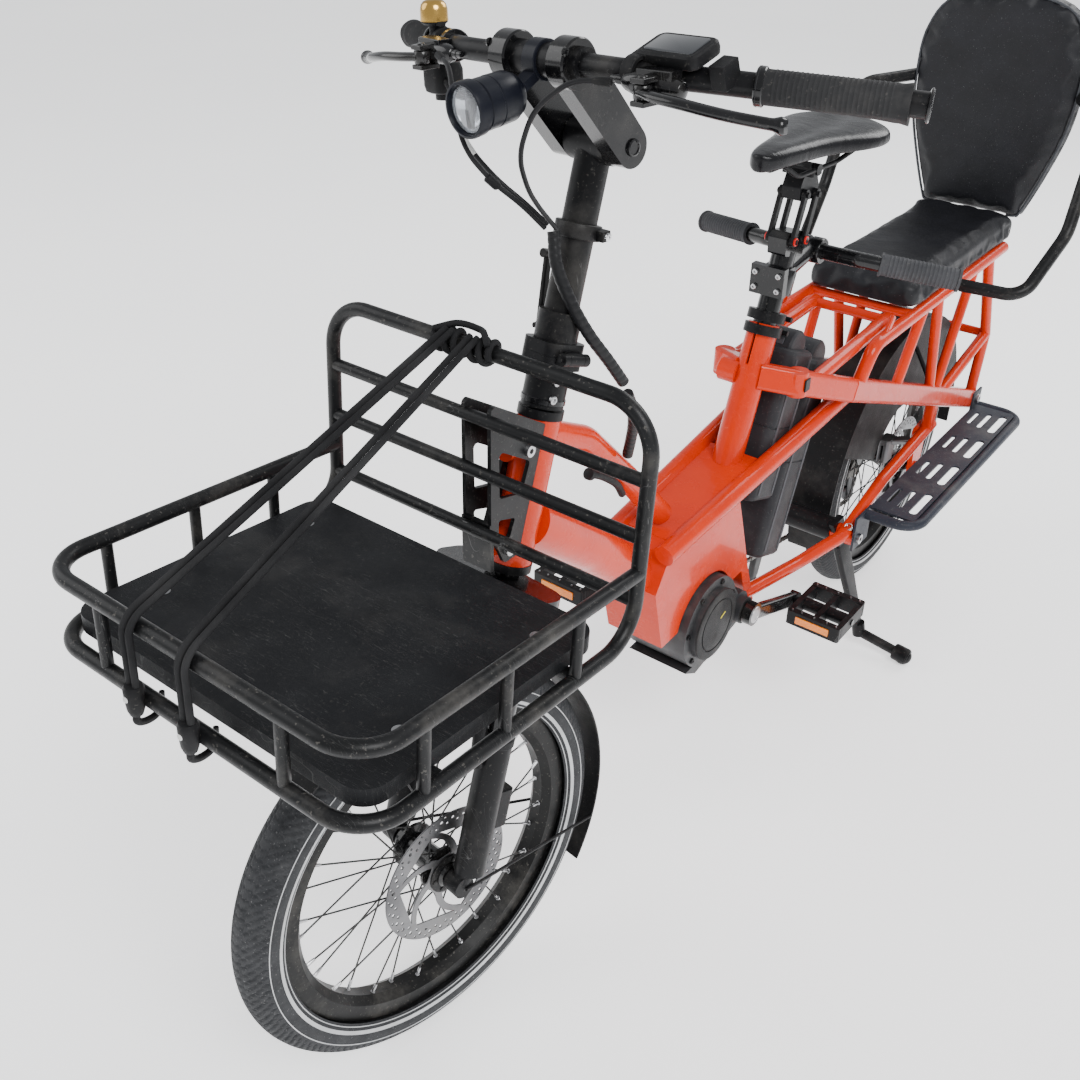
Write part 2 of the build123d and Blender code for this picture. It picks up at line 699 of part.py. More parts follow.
def arc_radii(points):
    """The arc at each corner: 0.45 of its shorter run over the tangent of half the turn."""
    spots = [Vector(point) for point in points]
    radii = []
    for before, here, after in zip(spots, spots[1:], spots[2:]):
        first, second = here - before, after - here
        turn = radians(first.get_angle(second))
        radii.append(0.45 * min(first.length, second.length) / tan(turn / 2))
    return radii


def cable(name, points, radius, radii=None):
    """A cable or cord along its route, with its length and its arcs printed."""
    radii = radii or arc_radii(points)
    bent_tube(points, radii, radius)
    with BuildLine(mode=Mode.PRIVATE) as route:
        FilletPolyline(*points, radius=radii)
    length = sum(edge.length for edge in route.edges())
    print(name, "length", round(length, 1), "radii", [round(r) for r in radii])


LEFT_HOSE = (
    (116, -446, 1146),
    (84, -458, 1146),
    (52, -476, 1120),
    (34, -480, 1076),
    (26, -462, 1040),
    (18, -440, 1016),
    (13, -413, 989),
)
RIGHT_HOSE = (
    (-116, -446, 1146),
    (-84, -460, 1142),
    (-56, -480, 1112),
    (-40, -484, 1072),
    (-24, -462, 1038),
    (-6, -442, 1016),
    (4, -420, 989),
)
SHIFT_CABLE = (
    (-172, -392, 1108),
    (-142, -410, 1098),
    (-104, -440, 1084),
    (-66, -452, 1060),
    (-36, -444, 1034),
    (-14, -430, 1014),
    (-4, -409, 989),
)
UPPER_BUNDLE = (
    (6, -410, 984),
    (14, -414, 950),
    (24, -404, 910),
    (32, -386, 872),
    (38, -362, 836),
    (40, -340, 804),
)
LOWER_BUNDLE = (
    (54, -340, 790),
    (50, -322, 762),
    (42, -306, 733),
    (32, -294, 704),
    (22, -284, 676),
)

with BuildPart() as bar_hoses:
    cable("left brake hose", LEFT_HOSE, 2.5)
    cable("right brake hose", RIGHT_HOSE, 2.5)
    cable("shift cable", SHIFT_CABLE, 2.5)
    add(bar_controls.part, mode=Mode.SUBTRACT)

with BuildPart() as bundle_upper:
    cable("cable bundle, upper", UPPER_BUNDLE, 8)
    add(post_upper.part, mode=Mode.SUBTRACT)

with BuildPart() as bundle_lower:
    cable("cable bundle, lower", LOWER_BUNDLE, 8)
    add(front_frame.part, mode=Mode.SUBTRACT)

# ---------------------------------------------------------------- saddle and rider's post

LINK = Vector(0, 22, 60)
LINK_FEET = (Vector(0, 114, 838), Vector(0, 148, 832))

with BuildPart() as seatpost:
    rod(seat(0, 0, 60), seat(0, 0, 322), 17)
    prism(((104, 818), (158, 804), (162, 838), (150, 844), (112, 850), (102, 844)), -14, 14, corner=4)
    for foot in LINK_FEET:
        rod(foot - Vector(24, 0, 0), foot + Vector(24, 0, 0), 4)

STOKER_POINTS = ((-206, 268, 782), (-74, 215, 797), (74, 215, 797), (206, 268, 782))


def stoker_at(x):
    """The middle of the passenger's bar at this X, outside its bends."""
    along = (abs(x) - 74) / 132
    return (x, 215 + 53 * along, 797 - 15 * along)


with BuildPart() as stoker_bar:
    rod(seat(0, 0, 262), seat(0, 0, 298), 25)
    slab((-26, 84, 764), (26, 96, 806), 4)
    rod((0, 128, 784), (0, 204, 796), 14)
    rod((-20, 215, 797), (20, 215, 797), 19)
    rod(seat(0, 0, 250), seat(0, 0, 310), 17, mode=Mode.SUBTRACT)
    bent_tube(STOKER_POINTS, (60, 60), 11.1)
    for side in SIDES:
        rod(stoker_at(side * 104), stoker_at(side * 207), 16)
        rod(stoker_at(side * 200), stoker_at(side * 211), 17.5)
        for z in (774, 796):
            rod((side * 18, 85, z), (side * 18, 80, z), 3.5)


def link(foot):
    """One link of the sprung parallelogram, with a plate each side of the post head."""
    head = foot + LINK
    for side in SIDES:
        near, far = sorted((side * 15, side * 21))
        across = Vector((near + far) / 2, 0, 0)
        bar(foot + across, head + across, 6, 13, 2)
        for end in (foot, head):
            rod(end + Vector(near, 0, 0), end + Vector(far, 0, 0), 7.5)
    for end in (foot, head):
        rod(end - Vector(24, 0, 0), end + Vector(24, 0, 0), 4 + FIT, mode=Mode.SUBTRACT)


with BuildPart() as link_front:
    link(LINK_FEET[0])

with BuildPart() as link_rear:
    link(LINK_FEET[1])

with BuildPart() as saddle_clamp:
    prism(((128, 890), (176, 884), (182, 902), (168, 930), (140, 934), (126, 908)), -14, 14, corner=4)
    for foot in LINK_FEET:
        rod(foot + LINK - Vector(24, 0, 0), foot + LINK + Vector(24, 0, 0), 4)
    for side in SIDES:
        bent_tube(
            ((side * 14, 66, 952), (side * 22, 96, 932), (side * 22, 214, 928), (side * 40, 252, 948)),
            (30, 30),
            3.5,
        )
        rod((side * 16, 153, 930), (side * 26, 153, 930), 8)
    slab((-24, 138, 922), (24, 168, 934), 4)

with BuildPart() as saddle:
    with BuildSketch(Plane.XY.offset(950)) as outline:
        with BuildLine():
            Spline((0, 18), (24, 34), (34, 90), (46, 150), (82, 214), (76, 268), (40, 284), (0, 280))
            Line((0, 280), (0, 18))
        make_face()
        mirror(about=Plane.YZ)
    extrude(amount=28)
    fillet(saddle.edges().group_by(Axis.Z)[-1], 11)
    add(saddle_clamp.part, mode=Mode.SUBTRACT)

# ---------------------------------------------------------------- passenger seat

PAD_FLOOR = REAR_RACK_HEIGHT + 11.5

with BuildPart() as seat_pad:
    slab((-96, 424, PAD_FLOOR), (96, 892, PAD_FLOOR + 44), 22)
    fillet(seat_pad.edges().group_by(Axis.Z)[-1], 14)

BACK_EDGE = ((92, 690), (122, 770), (144, 850), (150, 930), (143, 1000), (104, 1056), (0, 1082))

with BuildPart() as back_pad:
    with BuildSketch(Plane(origin=(0, 902, 0), x_dir=(1, 0, 0), z_dir=(0, 1, 0))) as arch:
        with BuildLine():
            Spline(*[(x, -z) for x, z in BACK_EDGE])
            Line((0, -1082), (0, -690))
            Line((0, -690), (92, -690))
        make_face()
        mirror(about=Plane.YZ)
    extrude(arch.sketch, amount=38)

with BuildPart() as seat_hoops:
    for side in SIDES:
        bent_tube(
            (
                (side * 103, 620, 645),
                (side * 206, 628, 646),
                (side * 226, 740, 730),
                (side * 222, 812, 905),
                (side * 149, 919, 915),
            ),
            (38, 60, 60),
            11,
        )
    add(rack_rails.part, mode=Mode.SUBTRACT)
    add(back_pad.part, mode=Mode.SUBTRACT)

# ---------------------------------------------------------------- front rack

SECOND_BAR, THIRD_BAR, FOURTH_BAR = 131.0, 70.5, 0.0
TOP_BAR = 205.0
TOP_RAIL = 33.0
LOW_RAIL = -43.0
FRONT = -RACK_DEPTH

with BuildPart() as front_rack_hoop:
    hoop = [rack(0, 0, TOP_BAR)]
    hoop += [rack(RACK_HALF, 0, TOP_BAR), rack(RACK_HALF, 0, LOW_RAIL), rack(RACK_HALF, FRONT, LOW_RAIL)]
    hoop += [rack(0, FRONT, LOW_RAIL)]
    bent_tube(hoop, (52, 46, 46), RACK_TUBE)
    mirror(about=Plane.YZ)
    for side in SIDES:
        bent_tube(
            (
                rack(side * RACK_HALF, 0, TOP_RAIL),
                rack(side * RACK_HALF, FRONT, TOP_RAIL),
                rack(0, FRONT, TOP_RAIL),
            ),
            (46,),
            RACK_TUBE,
        )

with BuildPart() as front_rack_bars:
    for height in (SECOND_BAR, THIRD_BAR, FOURTH_BAR):
        rod(rack(-RACK_HALF, 0, height), rack(RACK_HALF, 0, height), RACK_TUBE - 1)
    for y in (-280, -92):
        rod(rack(-RACK_HALF, y, LOW_RAIL), rack(RACK_HALF, y, LOW_RAIL), RACK_TUBE - 1)
    for side in SIDES:
        for y in (-96, -200, -304):
            rod(rack(side * RACK_HALF, y, LOW_RAIL), rack(side * RACK_HALF, y, TOP_RAIL), 6)
        rod(rack(side * 120, FRONT, LOW_RAIL), rack(side * 120, FRONT, TOP_RAIL), 6)
    for low, high in ((-20, -15), (15, 20)):
        prism(
            ((-447, 784), (-538, 842), (-541, 688), (-519, 640), (-468, 640), (-472, 690), (-448, 744)),
            low,
            high,
            corner=6,
        )
        prism(((-474, 750), (-526, 784), (-526, 726), (-488, 716)), low, high, corner=5, mode=Mode.SUBTRACT)
        prism(((-500, 690), (-528, 700), (-528, 680), (-510, 668)), low, high, corner=3, mode=Mode.SUBTRACT)
    slab((-20, -543, 640), (20, -537, 700))
    add(front_frame.part, mode=Mode.SUBTRACT)
    add(front_rack_hoop.part, mode=Mode.SUBTRACT)

with BuildPart() as deck_board:
    with BuildSketch(RACK.offset(LOW_RAIL + RACK_TUBE)) as deck:
        with Locations((0, (FRONT + 14 - 40) / 2)):
            RectangleRounded(2 * RACK_HALF - 24, abs(FRONT + 14) - 40, 26)
    extrude(deck.sketch, amount=18)
    with BuildSketch(RACK.offset(LOW_RAIL + RACK_TUBE + 14)) as seats:
        with Locations(*[(side * 160, y) for side in SIDES for y in (-280, -92)]):
            Circle(7.2)
    extrude(seats.sketch, amount=5, mode=Mode.SUBTRACT)

BUNGEE_X = ((-62, -34), (14, -2))

with BuildPart() as bungee_cord:
    for end_x, knot_x in BUNGEE_X:
        for offset in (-4.6, 4.6):
            strand = (
                rack(end_x + offset, FRONT - 12.5, LOW_RAIL + 20),
                rack(end_x + offset, FRONT - 13, TOP_RAIL + 11),
                rack(knot_x + offset, -6, TOP_BAR + 14),
            )
            cable("bungee strand", strand, 3.4, radii=(15,))
    for x in range(-46, 14, 8):
        with BuildSketch(Plane(origin=rack(x, 0, TOP_BAR), x_dir=(0, 1, 0), z_dir=(1, 0, 0))) as wrap:
            Circle(15.6)
            Circle(RACK_TUBE + 0.1, mode=Mode.SUBTRACT)
        extrude(wrap.sketch, amount=6.4)

with BuildPart() as bungee_hooks:
    for end_x, _ in BUNGEE_X:
        rod(rack(end_x, FRONT - 12.5, LOW_RAIL + 20), rack(end_x, FRONT - 12.5, LOW_RAIL - 14), 10)
        bent_tube(
            (
                rack(end_x, FRONT - 12.5, LOW_RAIL - 8),
                rack(end_x, FRONT - 12.5, LOW_RAIL - 24),
                rack(end_x, FRONT + 13, LOW_RAIL - 24),
                rack(end_x, FRONT + 13, LOW_RAIL - 2),
            ),
            (11, 11),
            3,
        )
    add(front_rack_hoop.part, mode=Mode.SUBTRACT)

with BuildPart() as fastener_bolts:
    for side in SIDES:
        for y in (-280, -92):
            with BuildSketch(RACK.offset(LOW_RAIL + RACK_TUBE + 14)) as head:
                with Locations((side * 160, y)):
                    Circle(7)
            extrude(head.sketch, amount=4)
        for height in BOSS_HEIGHTS:
            y = axis_y(height) - 40
            near, far = sorted((side * 20, side * 25))
            rod((near, y, height), (far, y, height), 7)
        for y, z in ((330, 272), (862, 336)):
            near, far = sorted((side * 108, side * 113))
            rod((near, y, z), (far, y, z), 9)

# ---------------------------------------------------------------- labels and files

STRAIGHT = {
    "headset_cups": headset_cups,
    "main_beam": main_beam,
    "front_frame": front_frame,
    "seat_tube": seat_tube,
    "seat_collars": seat_collars,
    "rear_beams": rear_beams,
    "rear_stays": rear_stays,
    "rack_rails": rack_rails,
    "rack_struts": rack_struts,
    "motor": motor,
    "batteries": batteries,
    "chain": chain,
    "derailleur_and_caliper": derailleur_and_caliper,
    "rear_fender": rear_fender,
    "footplates": footplates,
    "front_rack_hoop": front_rack_hoop,
    "front_rack_bars": front_rack_bars,
    "deck_board": deck_board,
    "bungee_cord": bungee_cord,
    "bungee_hooks": bungee_hooks,
    "fastener_bolts": fastener_bolts,
    "bundle_lower": bundle_lower,
    "seat_pad": seat_pad,
    "back_pad": back_pad,
    "seat_hoops": seat_hoops,
    "rear_tyre": rear_tyre,
    "rear_rim": rear_rim,
    "rear_spokes": rear_spokes,
    "rear_hub": rear_hub,
    "cassette": cassette,
    "cranks": cranks,
    "pedal_left": pedal_left,
    "pedal_right": pedal_right,
    "kickstand": kickstand,
    "seatpost": seatpost,
    "stoker_bar": stoker_bar,
    "link_front": link_front,
    "link_rear": link_rear,
    "saddle_clamp": saddle_clamp,
    "saddle": saddle,
}

TURNED = {
    "fork_crown": fork_crown,
    "fork_lowers": fork_lowers,
    "front_fender": front_fender,
    "front_tyre": front_tyre,
    "front_rim": front_rim,
    "front_spokes": front_spokes,
    "front_hub": front_hub,
    "post_base": post_base,
    "post_upper": post_upper,
    "latch_lever": latch_lever,
    "stem_arms": stem_arms,
    "handlebar": handlebar,
    "grips": grips,
    "bar_controls": bar_controls,
    "brake_lever_left": brake_lever_left,
    "brake_lever_right": brake_lever_right,
    "shift_lever": shift_lever,
    "headlight": headlight,
    "bar_hoses": bar_hoses,
    "bundle_upper": bundle_upper,
}

os.makedirs("parts", exist_ok=True)
whole = []
for label, piece in {**STRAIGHT, **TURNED}.items():
    solid = piece.part
    if label in TURNED:
        solid = solid.rotate(STEER_AXIS, STEER_TURN)
    solid = Pos(0, SHIFT_Y, 0) * solid
    solid.label = label
    whole.append(solid)
    export_step(solid, f"parts/{label}.step")

firm = [piece for piece in whole if "bungee" not in piece.label]
print("pieces", len(whole))
for words, pieces in (("whole", whole), ("without the bungee", firm)):
    box = Compound(pieces).bounding_box()
    print(words, "low", [round(v, 2) for v in box.min], "high", [round(v, 2) for v in box.max])
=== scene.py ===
import json
from math import asin, atan2, cos, hypot, pi, radians, sin, tan

import bmesh
import bpy
from mathutils import Matrix, Vector


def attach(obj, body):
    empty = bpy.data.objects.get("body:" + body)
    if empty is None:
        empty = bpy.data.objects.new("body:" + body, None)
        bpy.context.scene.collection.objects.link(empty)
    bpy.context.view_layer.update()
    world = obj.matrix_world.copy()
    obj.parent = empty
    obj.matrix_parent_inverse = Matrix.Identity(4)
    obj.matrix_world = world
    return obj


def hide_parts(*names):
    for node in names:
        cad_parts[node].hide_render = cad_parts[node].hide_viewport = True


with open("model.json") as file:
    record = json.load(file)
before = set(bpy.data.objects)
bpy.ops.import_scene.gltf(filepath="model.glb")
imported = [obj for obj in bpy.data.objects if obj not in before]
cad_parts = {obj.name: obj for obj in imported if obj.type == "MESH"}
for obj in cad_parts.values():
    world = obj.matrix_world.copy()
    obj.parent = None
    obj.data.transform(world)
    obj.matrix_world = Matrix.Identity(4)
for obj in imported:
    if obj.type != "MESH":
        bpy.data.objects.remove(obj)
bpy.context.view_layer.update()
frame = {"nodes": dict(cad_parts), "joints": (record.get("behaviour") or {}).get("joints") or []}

SIDES = (-1, 1)
JOINTS = {joint["name"]: joint for joint in frame["joints"]}
NODES = frame["nodes"]

# Pieces are drawn in the design's millimetres, with y = 0 at the crank axle and the bars straight.
# STRAIGHT puts them in the row frame, and TURNED also turns them with the fork and bars.
STRAIGHT = Matrix.Translation((0, JOINTS["crank_spin"]["pos_m"][1], 0)) @ Matrix.Scale(0.001, 4)
STEER_FOOT = Vector(JOINTS["steering"]["pos_m"])
STEER_AXIS = Vector(JOINTS["steering"]["axis"])
TURNED = (
    Matrix.Translation(STEER_FOOT)
    @ Matrix.Rotation(radians(-9), 4, STEER_AXIS)
    @ Matrix.Translation(-STEER_FOOT)
    @ STRAIGHT
)

# ---------------------------------------------------------------- camera and light

CAMERA_AT = Vector((697.8, -1332.3, 1369.6))
AZIMUTH, ELEVATION, ROLL = radians(37.5), radians(32.15), radians(0.6)

camera_data = bpy.data.cameras.new("camera")
camera_data.sensor_width = 36
camera_data.lens = 36 * 1158.8 / 1080
camera_data.shift_x = (540 - 543.6) / 1080
camera_data.shift_y = (514.0 - 540) / 1080
camera_data.clip_end = 60
camera = bpy.data.objects.new("camera", camera_data)
bpy.context.scene.collection.objects.link(camera)
bpy.context.scene.camera = camera
look = -Vector((sin(AZIMUTH) * cos(ELEVATION), -cos(AZIMUTH) * cos(ELEVATION), sin(ELEVATION)))
camera.matrix_world = (
    Matrix.Translation(STRAIGHT @ CAMERA_AT)
    @ look.to_track_quat("-Z", "Y").to_matrix().to_4x4()
    @ Matrix.Rotation(ROLL, 4, "Z")
)


def area_light(name, at, target, size, power):
    data = bpy.data.lights.new(name, "AREA")
    data.shape = "DISK"
    data.size = size
    data.energy = power
    lamp = bpy.data.objects.new(name, data)
    bpy.context.scene.collection.objects.link(lamp)
    lamp.location = at
    lamp.rotation_euler = (Vector(target) - Vector(at)).to_track_quat("-Z", "Y").to_euler()


area_light("key", (2.6, -1.6, 3.6), (0, 0, 0.5), 2.4, 150)
area_light("fill", (-3.2, -1.8, 2.8), (0, 0, 0.5), 3.2, 60)
area_light("back", (0.6, 3.4, 3.2), (0, 0, 0.7), 2.6, 90)

world = bpy.data.worlds.new("studio")
bpy.context.scene.world = world
world.use_nodes = True
world.node_tree.nodes["Background"].inputs["Color"].default_value = (0.95, 0.97, 1.0, 1)
world.node_tree.nodes["Background"].inputs["Strength"].default_value = 0.65

# ---------------------------------------------------------------- materials


class Surface:
    """A node material in the making: noise, cells, ramps and bumps feeding one Principled shader."""

    def __init__(self, name, **sockets):
        self.material = bpy.data.materials.new(name)
        self.material.use_nodes = True
        self.tree = self.material.node_tree
        self.shader = self.tree.nodes["Principled BSDF"]
        self.position = self.tree.nodes.new("ShaderNodeTexCoord").outputs["Object"]
        for socket, value in sockets.items():
            self.shader.inputs[socket.replace("_", " ")].default_value = value

    def node(self, kind, inputs, **settings):
        made = self.tree.nodes.new(kind)
        for key, value in settings.items():
            setattr(made, key, value)
        for key, value in inputs.items():
            if isinstance(value, bpy.types.NodeSocket):
                self.tree.links.new(value, made.inputs[key])
            else:
                made.inputs[key].default_value = value
        return made

    def stretch(self, scale, turn=(0, 0, 0)):
        placed = self.node("ShaderNodeMapping", {"Vector": self.position, "Scale": scale, "Rotation": turn})
        return placed.outputs["Vector"]

    def noise(self, scale, detail=3.0, rough=0.5, at=None, twist=0.0):
        inputs = {"Vector": at or self.position, "Scale": scale, "Detail": detail}
        inputs.update({"Roughness": rough, "Distortion": twist})
        return self.node("ShaderNodeTexNoise", inputs).outputs["Fac"]

    def cells(self, scale, at=None, feature="F1"):
        inputs = {"Vector": at or self.position, "Scale": scale}
        return self.node("ShaderNodeTexVoronoi", inputs, feature=feature).outputs["Distance"]

    def maths(self, operation, first, second=0.0):
        return self.node("ShaderNodeMath", {0: first, 1: second}, operation=operation).outputs[0]

    def ramp(self, value, low, high, low_out=0.0, high_out=1.0):
        inputs = {"Value": value, "From Min": low, "From Max": high, "To Min": low_out, "To Max": high_out}
        return self.node("ShaderNodeMapRange", inputs).outputs["Result"]

    def blend(self, share, first, second):
        made = self.node("ShaderNodeMix", {0: share}, data_type="RGBA")
        for index, value in ((6, first), (7, second)):
            if isinstance(value, bpy.types.NodeSocket):
                self.tree.links.new(value, made.inputs[index])
            else:
                made.inputs[index].default_value = (*value, 1)
        return made.outputs[2]

    def bump(self, height, depth, below=None):
        inputs = {"Height": height, "Strength": 1.0, "Distance": depth}
        if below:
            inputs["Normal"] = below
        return self.node("ShaderNodeBump", inputs).outputs["Normal"]

    def scratches(self, scale, width, turn, share):
        """Long thin marks: a narrow band of a stretched noise, kept only in patches."""
        drawn = self.noise(scale, 1.0, 0.5, self.stretch((1, 9, 1), turn), 0.4)
        line = self.ramp(self.maths("ABSOLUTE", self.maths("SUBTRACT", drawn, 0.5)), 0, width, 1, 0)
        patch = self.ramp(self.noise(scale * 0.45, 2.0), 1 - share, 1.02 - share)
        return self.maths("MULTIPLY", line, patch)

    def set(self, **links):
        for socket, value in links.items():
            self.tree.links.new(value, self.shader.inputs[socket.replace("_", " ")])
        return self.material


def coated(
    name, colour, other, rough, grain=(900, 0.00004), scratch=None, dust=None, metal=0.0, coat=0.0,
    coat_rough=0.1
):
    """Painted, anodised or moulded: two tones, uneven gloss, fine grain, and optional scratches and dust."""
    shine = 0.5 if metal else 0.16
    s = Surface(name, Metallic=metal, Coat_Weight=coat, Coat_Roughness=coat_rough, Specular_IOR_Level=shine)
    tone = s.blend(s.ramp(s.noise(14, 5), 0.35, 0.65), colour, other)
    gloss = s.ramp(s.noise(32, 6, 0.65), 0.3, 0.7, *rough)
    normal = s.bump(s.noise(grain[0], 2), grain[1])
    if scratch:
        marks = s.maths(
            "MAXIMUM",
            s.scratches(26, 0.006, (0.4, 0.9, 0.3), scratch["share"]),
            s.scratches(38, 0.005, (1.4, 0.2, 2.1), scratch["share"]),
        )
        tone = s.blend(s.maths("MULTIPLY", marks, scratch["strength"]), tone, scratch["colour"])
        normal = s.bump(marks, -0.00008, normal)
    if dust:
        film = s.ramp(s.noise(9, 7, 0.7), dust["from"], dust["from"] + 0.25, 0, dust["strength"])
        fleck = s.ramp(s.noise(240, 3, 0.6), 0.62, 0.7, 0, dust["strength"])
        film = s.maths("MAXIMUM", film, fleck)
        tone = s.blend(film, tone, dust["colour"])
        gloss = s.maths("ADD", gloss, s.maths("MULTIPLY", film, 0.4))
    return s.set(Base_Color=tone, Roughness=gloss, Normal=normal)


GREY_DUST = {"from": 0.52, "strength": 0.22, "colour": (0.30, 0.28, 0.25)}
ORANGE = coated(
    "orange_paint", (0.66, 0.030, 0.0), (0.60, 0.025, 0.0), (0.20, 0.32), (60, 0.0004),
    {"share": 0.42, "strength": 0.30, "colour": (0.9, 0.30, 0.18)},
    {"from": 0.62, "strength": 0.06, "colour": (0.5, 0.2, 0.12)}, coat=0.3, coat_rough=0.05,
)
POWDER = coated(
    "powder_coat", (0.0045, 0.0047, 0.005), (0.008, 0.0082, 0.009), (0.34, 0.50), (1400, 0.00012),
    {"share": 0.40, "strength": 0.4, "colour": (0.20, 0.20, 0.20)}, GREY_DUST, coat=0.15, coat_rough=0.3,
)
GLOSS_BLACK = coated(
    "gloss_black", (0.003, 0.003, 0.0034), (0.006, 0.006, 0.007), (0.16, 0.28), (900, 0.00003),
    {"share": 0.38, "strength": 0.25, "colour": (0.2, 0.2, 0.2)}, dict(GREY_DUST, strength=0.10), coat=0.5,
)
SATIN_BLACK = coated(
    "satin_black", (0.005, 0.005, 0.0056), (0.009, 0.009, 0.010), (0.30, 0.44), (1100, 0.00004),
    {"share": 0.38, "strength": 0.3, "colour": (0.2, 0.2, 0.2)}, dict(GREY_DUST, strength=0.12),
)
RIM_BLACK = coated("rim_black", (0.005, 0.005, 0.005), (0.01, 0.01, 0.01), (0.30, 0.45), dust=GREY_DUST)
PLASTIC = coated(
    "moulded_plastic", (0.006, 0.006, 0.0065), (0.010, 0.010, 0.011), (0.42, 0.58), (2200, 0.00016),
    dust=dict(GREY_DUST, strength=0.12),
)
CASE = coated(
    "battery_case", (0.020, 0.020, 0.023), (0.030, 0.030, 0.033), (0.36, 0.50), (1800, 0.00010),
    {"share": 0.36, "strength": 0.2, "colour": (0.2, 0.2, 0.22)}, dict(GREY_DUST, strength=0.14),
)
CASE_EDGE = coated("battery_edge", (0.055, 0.056, 0.062), (0.07, 0.07, 0.078), (0.45, 0.6), (1800, 0.0001))
BLUE_BLACK = coated(
    "blue_black_plate", (0.022, 0.025, 0.036), (0.032, 0.036, 0.048), (0.38, 0.52), (1300, 0.0001),
    {"share": 0.45, "strength": 0.4, "colour": (0.25, 0.26, 0.3)}, dict(GREY_DUST, strength=0.25),
)
BOARD = coated(
    "deck_board", (0.006, 0.0063, 0.0075), (0.011, 0.0115, 0.013), (0.36, 0.54), (1500, 0.00022),
    {"share": 0.50, "strength": 0.22, "colour": (0.22, 0.22, 0.21)}, dict(GREY_DUST, strength=0.06),
)
STEEL = coated(
    "brushed_steel", (0.42, 0.42, 0.43), (0.55, 0.55, 0.56), (0.25, 0.42), (700, 0.00004),
    {"share": 0.5, "strength": 0.4, "colour": (0.7, 0.7, 0.7)}, dict(GREY_DUST, strength=0.3), metal=1.0,
)
ROTOR = coated("rotor_steel", (0.11, 0.11, 0.115), (0.19, 0.19, 0.195), (0.3, 0.5), metal=1.0, dust=GREY_DUST)
CHROME = coated("chrome", (0.75, 0.75, 0.76), (0.66, 0.66, 0.67), (0.08, 0.2), (500, 0.00002), metal=1.0)
SPOKE = coated("spoke_black", (0.03, 0.03, 0.03), (0.05, 0.05, 0.05), (0.3, 0.45), metal=0.6, dust=GREY_DUST)
CHAIN = coated("chain_steel", (0.20, 0.19, 0.18), (0.11, 0.10, 0.09), (0.3, 0.5), metal=0.9, dust=GREY_DUST)
BRASS = coated("polished_brass", (0.68, 0.42, 0.12), (0.58, 0.35, 0.09), (0.12, 0.24), (400, 0.00003),
               metal=1.0)
RUBBER = coated(
    "soft_rubber", (0.016, 0.016, 0.017), (0.024, 0.024, 0.025), (0.60, 0.75), (1600, 0.0002),
    dust=dict(GREY_DUST, strength=0.12),
)
GREY_RUBBER = coated(
    "grey_rubber", (0.045, 0.046, 0.050), (0.060, 0.061, 0.066), (0.60, 0.75), (1600, 0.0002),
    dust=dict(GREY_DUST, strength=0.15),
)
CORD = coated("braided_cord", (0.013, 0.013, 0.014), (0.03, 0.03, 0.031), (0.7, 0.85), (1900, 0.0006))
CABLE = coated("cable_jacket", (0.012, 0.012, 0.013), (0.018, 0.018, 0.019), (0.32, 0.45), (300, 0.00004))
AMBER = coated("amber_reflector", (0.95, 0.22, 0.01), (0.90, 0.30, 0.02), (0.10, 0.2), (700, 0.0008),
               coat=0.8)
RED = coated("red_part", (0.6, 0.015, 0.01), (0.5, 0.012, 0.01), (0.2, 0.3), coat=0.4)
YELLOW = coated("yellow_mark", (0.75, 0.62, 0.05), (0.70, 0.58, 0.05), (0.4, 0.5))
WHITE_TAG = coated("white_tag", (0.75, 0.75, 0.73), (0.68, 0.68, 0.66), (0.5, 0.6))
SCREEN = coated("screen_glass", (0.02, 0.022, 0.026), (0.025, 0.028, 0.032), (0.06, 0.12), (200, 0.00001),
                coat=1.0)
REFLECTIVE = coated(
    "reflective_band", (0.62, 0.63, 0.64), (0.50, 0.51, 0.52), (0.35, 0.5), (1500, 0.0001),
    dust={"from": 0.45, "strength": 0.35, "colour": (0.33, 0.31, 0.28)},
)
LAMP_BLACK = coated("lamp_body", (0.005, 0.006, 0.010), (0.009, 0.010, 0.015), (0.25, 0.38), (900, 0.00004))


def tyre_rubber():
    """Dusty tread rubber: paler where it meets the road, streaked down the sidewall."""
    s = Surface("tyre_rubber", Specular_IOR_Level=0.2)
    tone = s.blend(s.ramp(s.noise(20, 6, 0.7), 0.35, 0.65), (0.020, 0.021, 0.023), (0.034, 0.035, 0.038))
    film = s.ramp(s.noise(55, 7, 0.75), 0.42, 0.74, 0, 0.55)
    tone = s.blend(film, tone, (0.085, 0.086, 0.088))
    fleck = s.ramp(s.noise(420, 2), 0.66, 0.72, 0, 0.7)
    tone = s.blend(fleck, tone, (0.17, 0.17, 0.17))
    normal = s.bump(s.noise(1300, 3), 0.0003)
    return s.set(Base_Color=tone, Roughness=s.ramp(film, 0, 0.8, 0.62, 0.9), Normal=normal)


def vinyl(name, colour, gloss, depth=0.00022):
    """Coated fabric: fine leather cells over soft creases."""
    s = Surface(name, Coat_Weight=0.08, Coat_Roughness=0.35, Specular_IOR_Level=0.25)
    tone = s.blend(s.ramp(s.noise(18, 5), 0.35, 0.65), colour, tuple(1.5 * part for part in colour))
    lint = s.ramp(s.noise(520, 2, 0.6), 0.69, 0.74, 0, 0.5)
    tone = s.blend(lint, tone, (0.16, 0.16, 0.165))
    grain = s.bump(s.cells(620), depth)
    creases = s.bump(s.noise(16, 4, 0.6, s.stretch((1, 2.4, 1)), 0.8), 0.0012, grain)
    return s.set(Base_Color=tone, Roughness=s.ramp(s.noise(30, 4), 0.3, 0.7, *gloss), Normal=creases)


